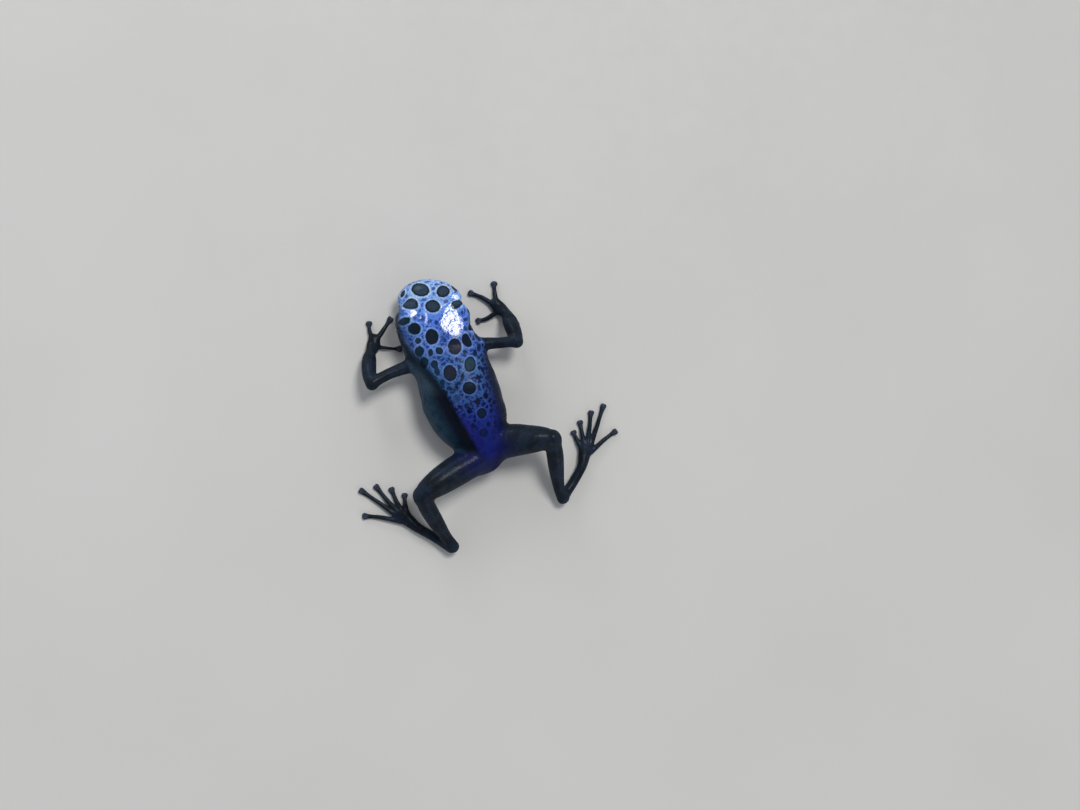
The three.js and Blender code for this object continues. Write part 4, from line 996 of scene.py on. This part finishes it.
    # limbs: near-black with slate and deep blue clouds
    cloud = m.noise(m.warp(p, 0.4, 1.0), 0.42, 3.0, 0.5)
    limb = m.ramp(cloud, [(0.25, lin(13, 19, 27)), (0.45, lin(20, 30, 42)), (0.6, lin(28, 42, 58)), (0.78, lin(22, 33, 62))])
    limb = m.mix(m.step(fine, 0.02, 0.2, 0.0, 0.22), limb, lin(48, 62, 78))
    limb = m.mix(m.step(m.attr("under"), 0.2, 0.8, 0.0, 0.7), limb, lin(12, 20, 44))
    limb = m.mix(m.mul(m.attr("hip"), 0.78), limb, lin(17, 26, 84))
    # the discs are paler on top: partly their own tone, partly a painted highlight
    limb = m.mix(m.mul(m.attr("disc"), 0.5), limb, lin(74, 82, 106))
    colour = m.mix(m.step(m.add(m.attr("limb"), m.mul(wobble, 0.5)), 0.15, 0.9), colour, limb)

    # fine dark lines: painted shade in the mouth groove and the nostril pits, dark lid margins, and a darker eardrum
    colour = m.mix(m.mul(m.attr("mouth"), 0.85), colour, lin(8, 12, 22))
    colour = m.mix(m.mul(m.attr("lid"), 0.85), colour, lin(10, 17, 38))
    colour = m.mix(m.attr("nostril"), colour, lin(5, 7, 12))
    colour = m.mix(m.mul(m.attr("eardrum"), 0.55), colour, lin(16, 22, 34))
    # painted shade: the furrows between the grains are a little darker
    grain = m.voronoi(p, 3.3, "F1")
    colour = m.mix(m.step(grain, 0.42, 0.75, 0.0, 0.45), colour, m.mix(0.7, colour, lin(6, 9, 16)))
    m.put(m.shader.inputs["Base Color"], colour)

    # wet, finely granular surface: wettest on the head and neck, dry on the spots
    damp = m.noise(p, 0.55, 3.0, 0.62)
    wet = m.mul(m.attr("wet"), m.step(edge, -0.1, 0.1, 0.3, 1.0))
    m.put(m.shader.inputs["Roughness"], m.add(m.add(m.step(damp, 0.3, 0.7, 0.46, 0.6), m.mul(wet, -0.16)), m.step(edge, 0.1, -0.1, 0.0, 0.12)))
    wrinkle = m.noise(p, 1.9, 3.0, 0.6)
    calm = m.step(m.attr("limb"), 0.3, 1.1, 1.5, 0.7)
    height = m.add(m.math("MULTIPLY", m.mul(grain, grain), -0.7), m.add(m.mul(wrinkle, calm), m.mul(m.noise(p, 9.0, 1.0), 0.2)))
    m.put(m.shader.inputs["Normal"], m.bump(height, 0.00006, 0.7))
    # the film is broken up by the cells of the net, most where it is wettest
    film = m.add(m.math("MULTIPLY", m.mul(seeds, seeds), m.mul(wet, -2.1)), m.add(m.mul(wrinkle, 0.85), m.mul(m.mul(grain, grain), -0.12)))
    m.put(m.shader.inputs["Coat Normal"], m.bump(film, 0.00006, 0.55))
    m.put(m.shader.inputs["Coat Weight"], m.mul(wet, m.step(damp, 0.35, 0.6, 0.55, 1.0)))
    m.shader.inputs["Coat Roughness"].default_value = 0.11
    m.shader.inputs["Coat IOR"].default_value = 1.8
    m.shader.inputs["IOR"].default_value = 1.4
    m.shader.inputs["Specular IOR Level"].default_value = 0.13
    return m.mat


def eye_material():
    m = Net("frog_eye")
    p = m.place()
    out, round_ = m.attr("out"), m.attr("oval")
    fibres = m.noise(m.warp(p, 2.0, 0.2), 7.0, 3.0, 0.6)
    iris = m.ramp(fibres, [(0.3, lin(4, 4, 4)), (0.55, lin(10, 8, 7)), (0.8, lin(20, 14, 10))])
    iris = m.mix(m.step(out, 0.5, 0.85), iris, lin(7, 7, 9))
    colour = m.mix(m.step(round_, 1.02, 0.92), m.mix(m.step(round_, 1.2, 1.04), iris, lin(50, 37, 24)), lin(2, 2, 3))
    colour = m.mix(m.step(out, 0.86, 0.98), colour, lin(6, 9, 18))
    m.put(m.shader.inputs["Base Color"], colour)
    m.put(m.shader.inputs["Roughness"], m.step(fibres, 0.3, 0.7, 0.12, 0.2))
    m.put(m.shader.inputs["Normal"], m.bump(m.noise(p, 3.0, 2.0), 0.00001, 0.3))
    m.shader.inputs["Coat Weight"].default_value = 0.5
    m.shader.inputs["Coat Roughness"].default_value = 0.04
    m.shader.inputs["Coat IOR"].default_value = 1.33
    m.shader.inputs["IOR"].default_value = 1.3
    m.shader.inputs["Specular IOR Level"].default_value = 0.2
    return m.mat


def floor_material():
    m = Net("pale_floor")
    p = m.place()
    m.put(m.shader.inputs["Base Color"], m.ramp(m.noise(p, 0.02, 2.0), [(0.3, lin(216, 215, 212)), (0.7, lin(220, 219, 216))]))
    m.put(m.shader.inputs["Roughness"], m.step(m.noise(p, 0.3, 2.0), 0.3, 0.7, 0.55, 0.65))
    return m.mat


# ---------------------------------------------------------------- pieces
def make_eye(side, name):
    """A ball with a domed cornea, its pole on the eye's axis."""
    c, axis = head_point(EYE["s"], EYE["lat"] * side, EYE["z"]), eye_axis(side)
    over = np.cross(axis, np.cross([0, 0, 1.0], axis))
    over /= np.linalg.norm(over)
    fore = np.cross(over, axis)
    rings, sides = 84, 96
    ang = np.linspace(0, np.pi, rings + 1)[1:-1]
    turn = np.linspace(0, 2 * np.pi, sides, endpoint=False)
    dome = np.radians(52)
    r = EYE["radius"] - 0.035 + 0.11 * np.where(ang < dome, (1 - (ang / dome) ** 2) ** 2, 0) - 0.02 * np.exp(-(((ang - dome) / 0.06) ** 2))
    a = (r * np.cos(ang))[:, None, None] * axis
    ring = (r * np.sin(ang))[:, None, None] * (np.cos(turn)[None, :, None] * fore + np.sin(turn)[None, :, None] * over)
    pts = (c + a + ring).reshape(-1, 3)
    n = len(ang)
    pts = np.concatenate([pts, [c + axis * (EYE["radius"] - 0.035 + 0.11)], [c - axis * (EYE["radius"] - 0.035)]])
    i, j = np.meshgrid(np.arange(n - 1), np.arange(sides), indexing="ij")
    k = (j + 1) % sides
    quads = np.stack([i * sides + j, (i + 1) * sides + j, (i + 1) * sides + k, i * sides + k], -1).reshape(-1, 4)
    j = np.arange(sides)
    k = (j + 1) % sides
    caps = np.concatenate([np.stack([np.full(sides, n * sides), j, k], -1), np.stack([np.full(sides, n * sides + 1), (n - 1) * sides + k, (n - 1) * sides + j], -1)])
    ob = mesh_from(name, pts, [quads, caps])
    q = points_of(ob.data)
    faces = quads[:, :3]
    if np.einsum("ij,ij->i", q[faces[:, 0]] - c, np.cross(q[faces[:, 1]] - c, q[faces[:, 2]] - c)).sum() < 0:
        ob.data.flip_normals()
    set_smooth(ob.data)
    d = points_of(ob.data) - c
    x, y, z = d @ fore, d @ over, d @ axis
    out = np.arctan2(np.sqrt(x * x + y * y), z) / LID_ANGLE
    attribute(ob.data, "out", out)
    attribute(ob.data, "oval", np.where(z > 0, np.sqrt((x / 0.74) ** 2 + (y / 0.58) ** 2), 9.0))
    return ob


skin, body_field = make_skin()
mark(skin, body_field)
skin.data.materials.clear()
skin.data.materials.append(skin_material())
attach(skin, "root")
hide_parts(*[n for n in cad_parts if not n.startswith("eye")])

eye_finish = eye_material()
for side, name in ((1, "left"), (-1, "right")):
    eye = make_eye(side, f"eyeball_{name}")
    eye.data.materials.append(eye_finish)
    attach(eye, "root")
    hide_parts(f"eye_{name}")

# ---------------------------------------------------------------- floor, light and camera
me = bpy.data.meshes.new("floor")
me.from_pydata([(-3, -3, -2e-5), (3, -3, -2e-5), (3, 3, -2e-5), (-3, 3, -2e-5)], [], [(0, 1, 2, 3)])
floor = bpy.data.objects.new("floor", me)
bpy.context.scene.collection.objects.link(floor)
me.materials.append(floor_material())


def soft_light(name, direction, distance, size, watts, colour, target=(0.0, -0.004, 0.006)):
    light = bpy.data.lights.new(name, "AREA")
    light.shape = "DISK"
    light.size = size
    light.energy = watts
    light.color = colour
    ob = bpy.data.objects.new(name, light)
    d = Vector(direction).normalized()
    ob.location = Vector(target) + d * distance
    ob.rotation_mode = "QUATERNION"
    ob.rotation_quaternion = d.to_track_quat("Z", "Y")
    bpy.context.scene.collection.objects.link(ob)
    return ob


sun = bpy.data.lights.new("key", "SUN")
sun.energy = 1.45
sun.angle = math.radians(20)
sun.color = (1.0, 0.985, 0.955)
key = bpy.data.objects.new("key", sun)
key.rotation_mode = "QUATERNION"
key.rotation_quaternion = Vector((-0.32, -0.34, 0.88)).to_track_quat("Z", "Y")
bpy.context.scene.collection.objects.link(key)
soft_light("fill", (0.75, -0.55, 0.55), 0.6, 0.5, 0.35, (0.88, 0.94, 1.0))
soft_light("front", (0.1, -0.92, 0.4), 0.5, 0.16, 0.36, (0.96, 0.98, 1.0))
soft_light("rim", (-0.3, 0.85, 0.45), 0.6, 0.35, 0.3, (0.95, 0.97, 1.0))

world = bpy.data.worlds.new("studio")
world.use_nodes = True
nodes, links = world.node_tree.nodes, world.node_tree.links
where = nodes.new("ShaderNodeTexCoord")
parts = nodes.new("ShaderNodeSeparateXYZ")
sky = nodes.new("ShaderNodeValToRGB")
sky.color_ramp.elements[0].position, sky.color_ramp.elements[0].color = 0.0, (0.62, 0.64, 0.67, 1)
sky.color_ramp.elements[1].position, sky.color_ramp.elements[1].color = 0.9, (0.12, 0.13, 0.15, 1)
links.new(where.outputs["Generated"], parts.inputs[0])
links.new(parts.outputs["Z"], sky.inputs[0])
links.new(sky.outputs["Color"], nodes["Background"].inputs["Color"])
nodes["Background"].inputs["Strength"].default_value = 1.0
bpy.context.scene.world = world

camera = bpy.data.cameras.new("camera")
camera.sensor_fit = "HORIZONTAL"
camera.sensor_width = 36.0
camera.lens = FOCAL / FRAME_W * 36.0
camera.clip_start, camera.clip_end = 0.005, 10.0
cam = bpy.data.objects.new("camera", camera)
bpy.context.scene.collection.objects.link(cam)
turn = Matrix([list(row) for row in CAM_TURN]).to_4x4()
cam.matrix_world = Matrix.Translation(Vector((CAM_PLACE - ORIGIN) * 0.001)) @ turn
bpy.context.scene.camera = cam
bpy.context.scene.view_settings.view_transform = "Standard"
bpy.context.scene.view_settings.look = "None"
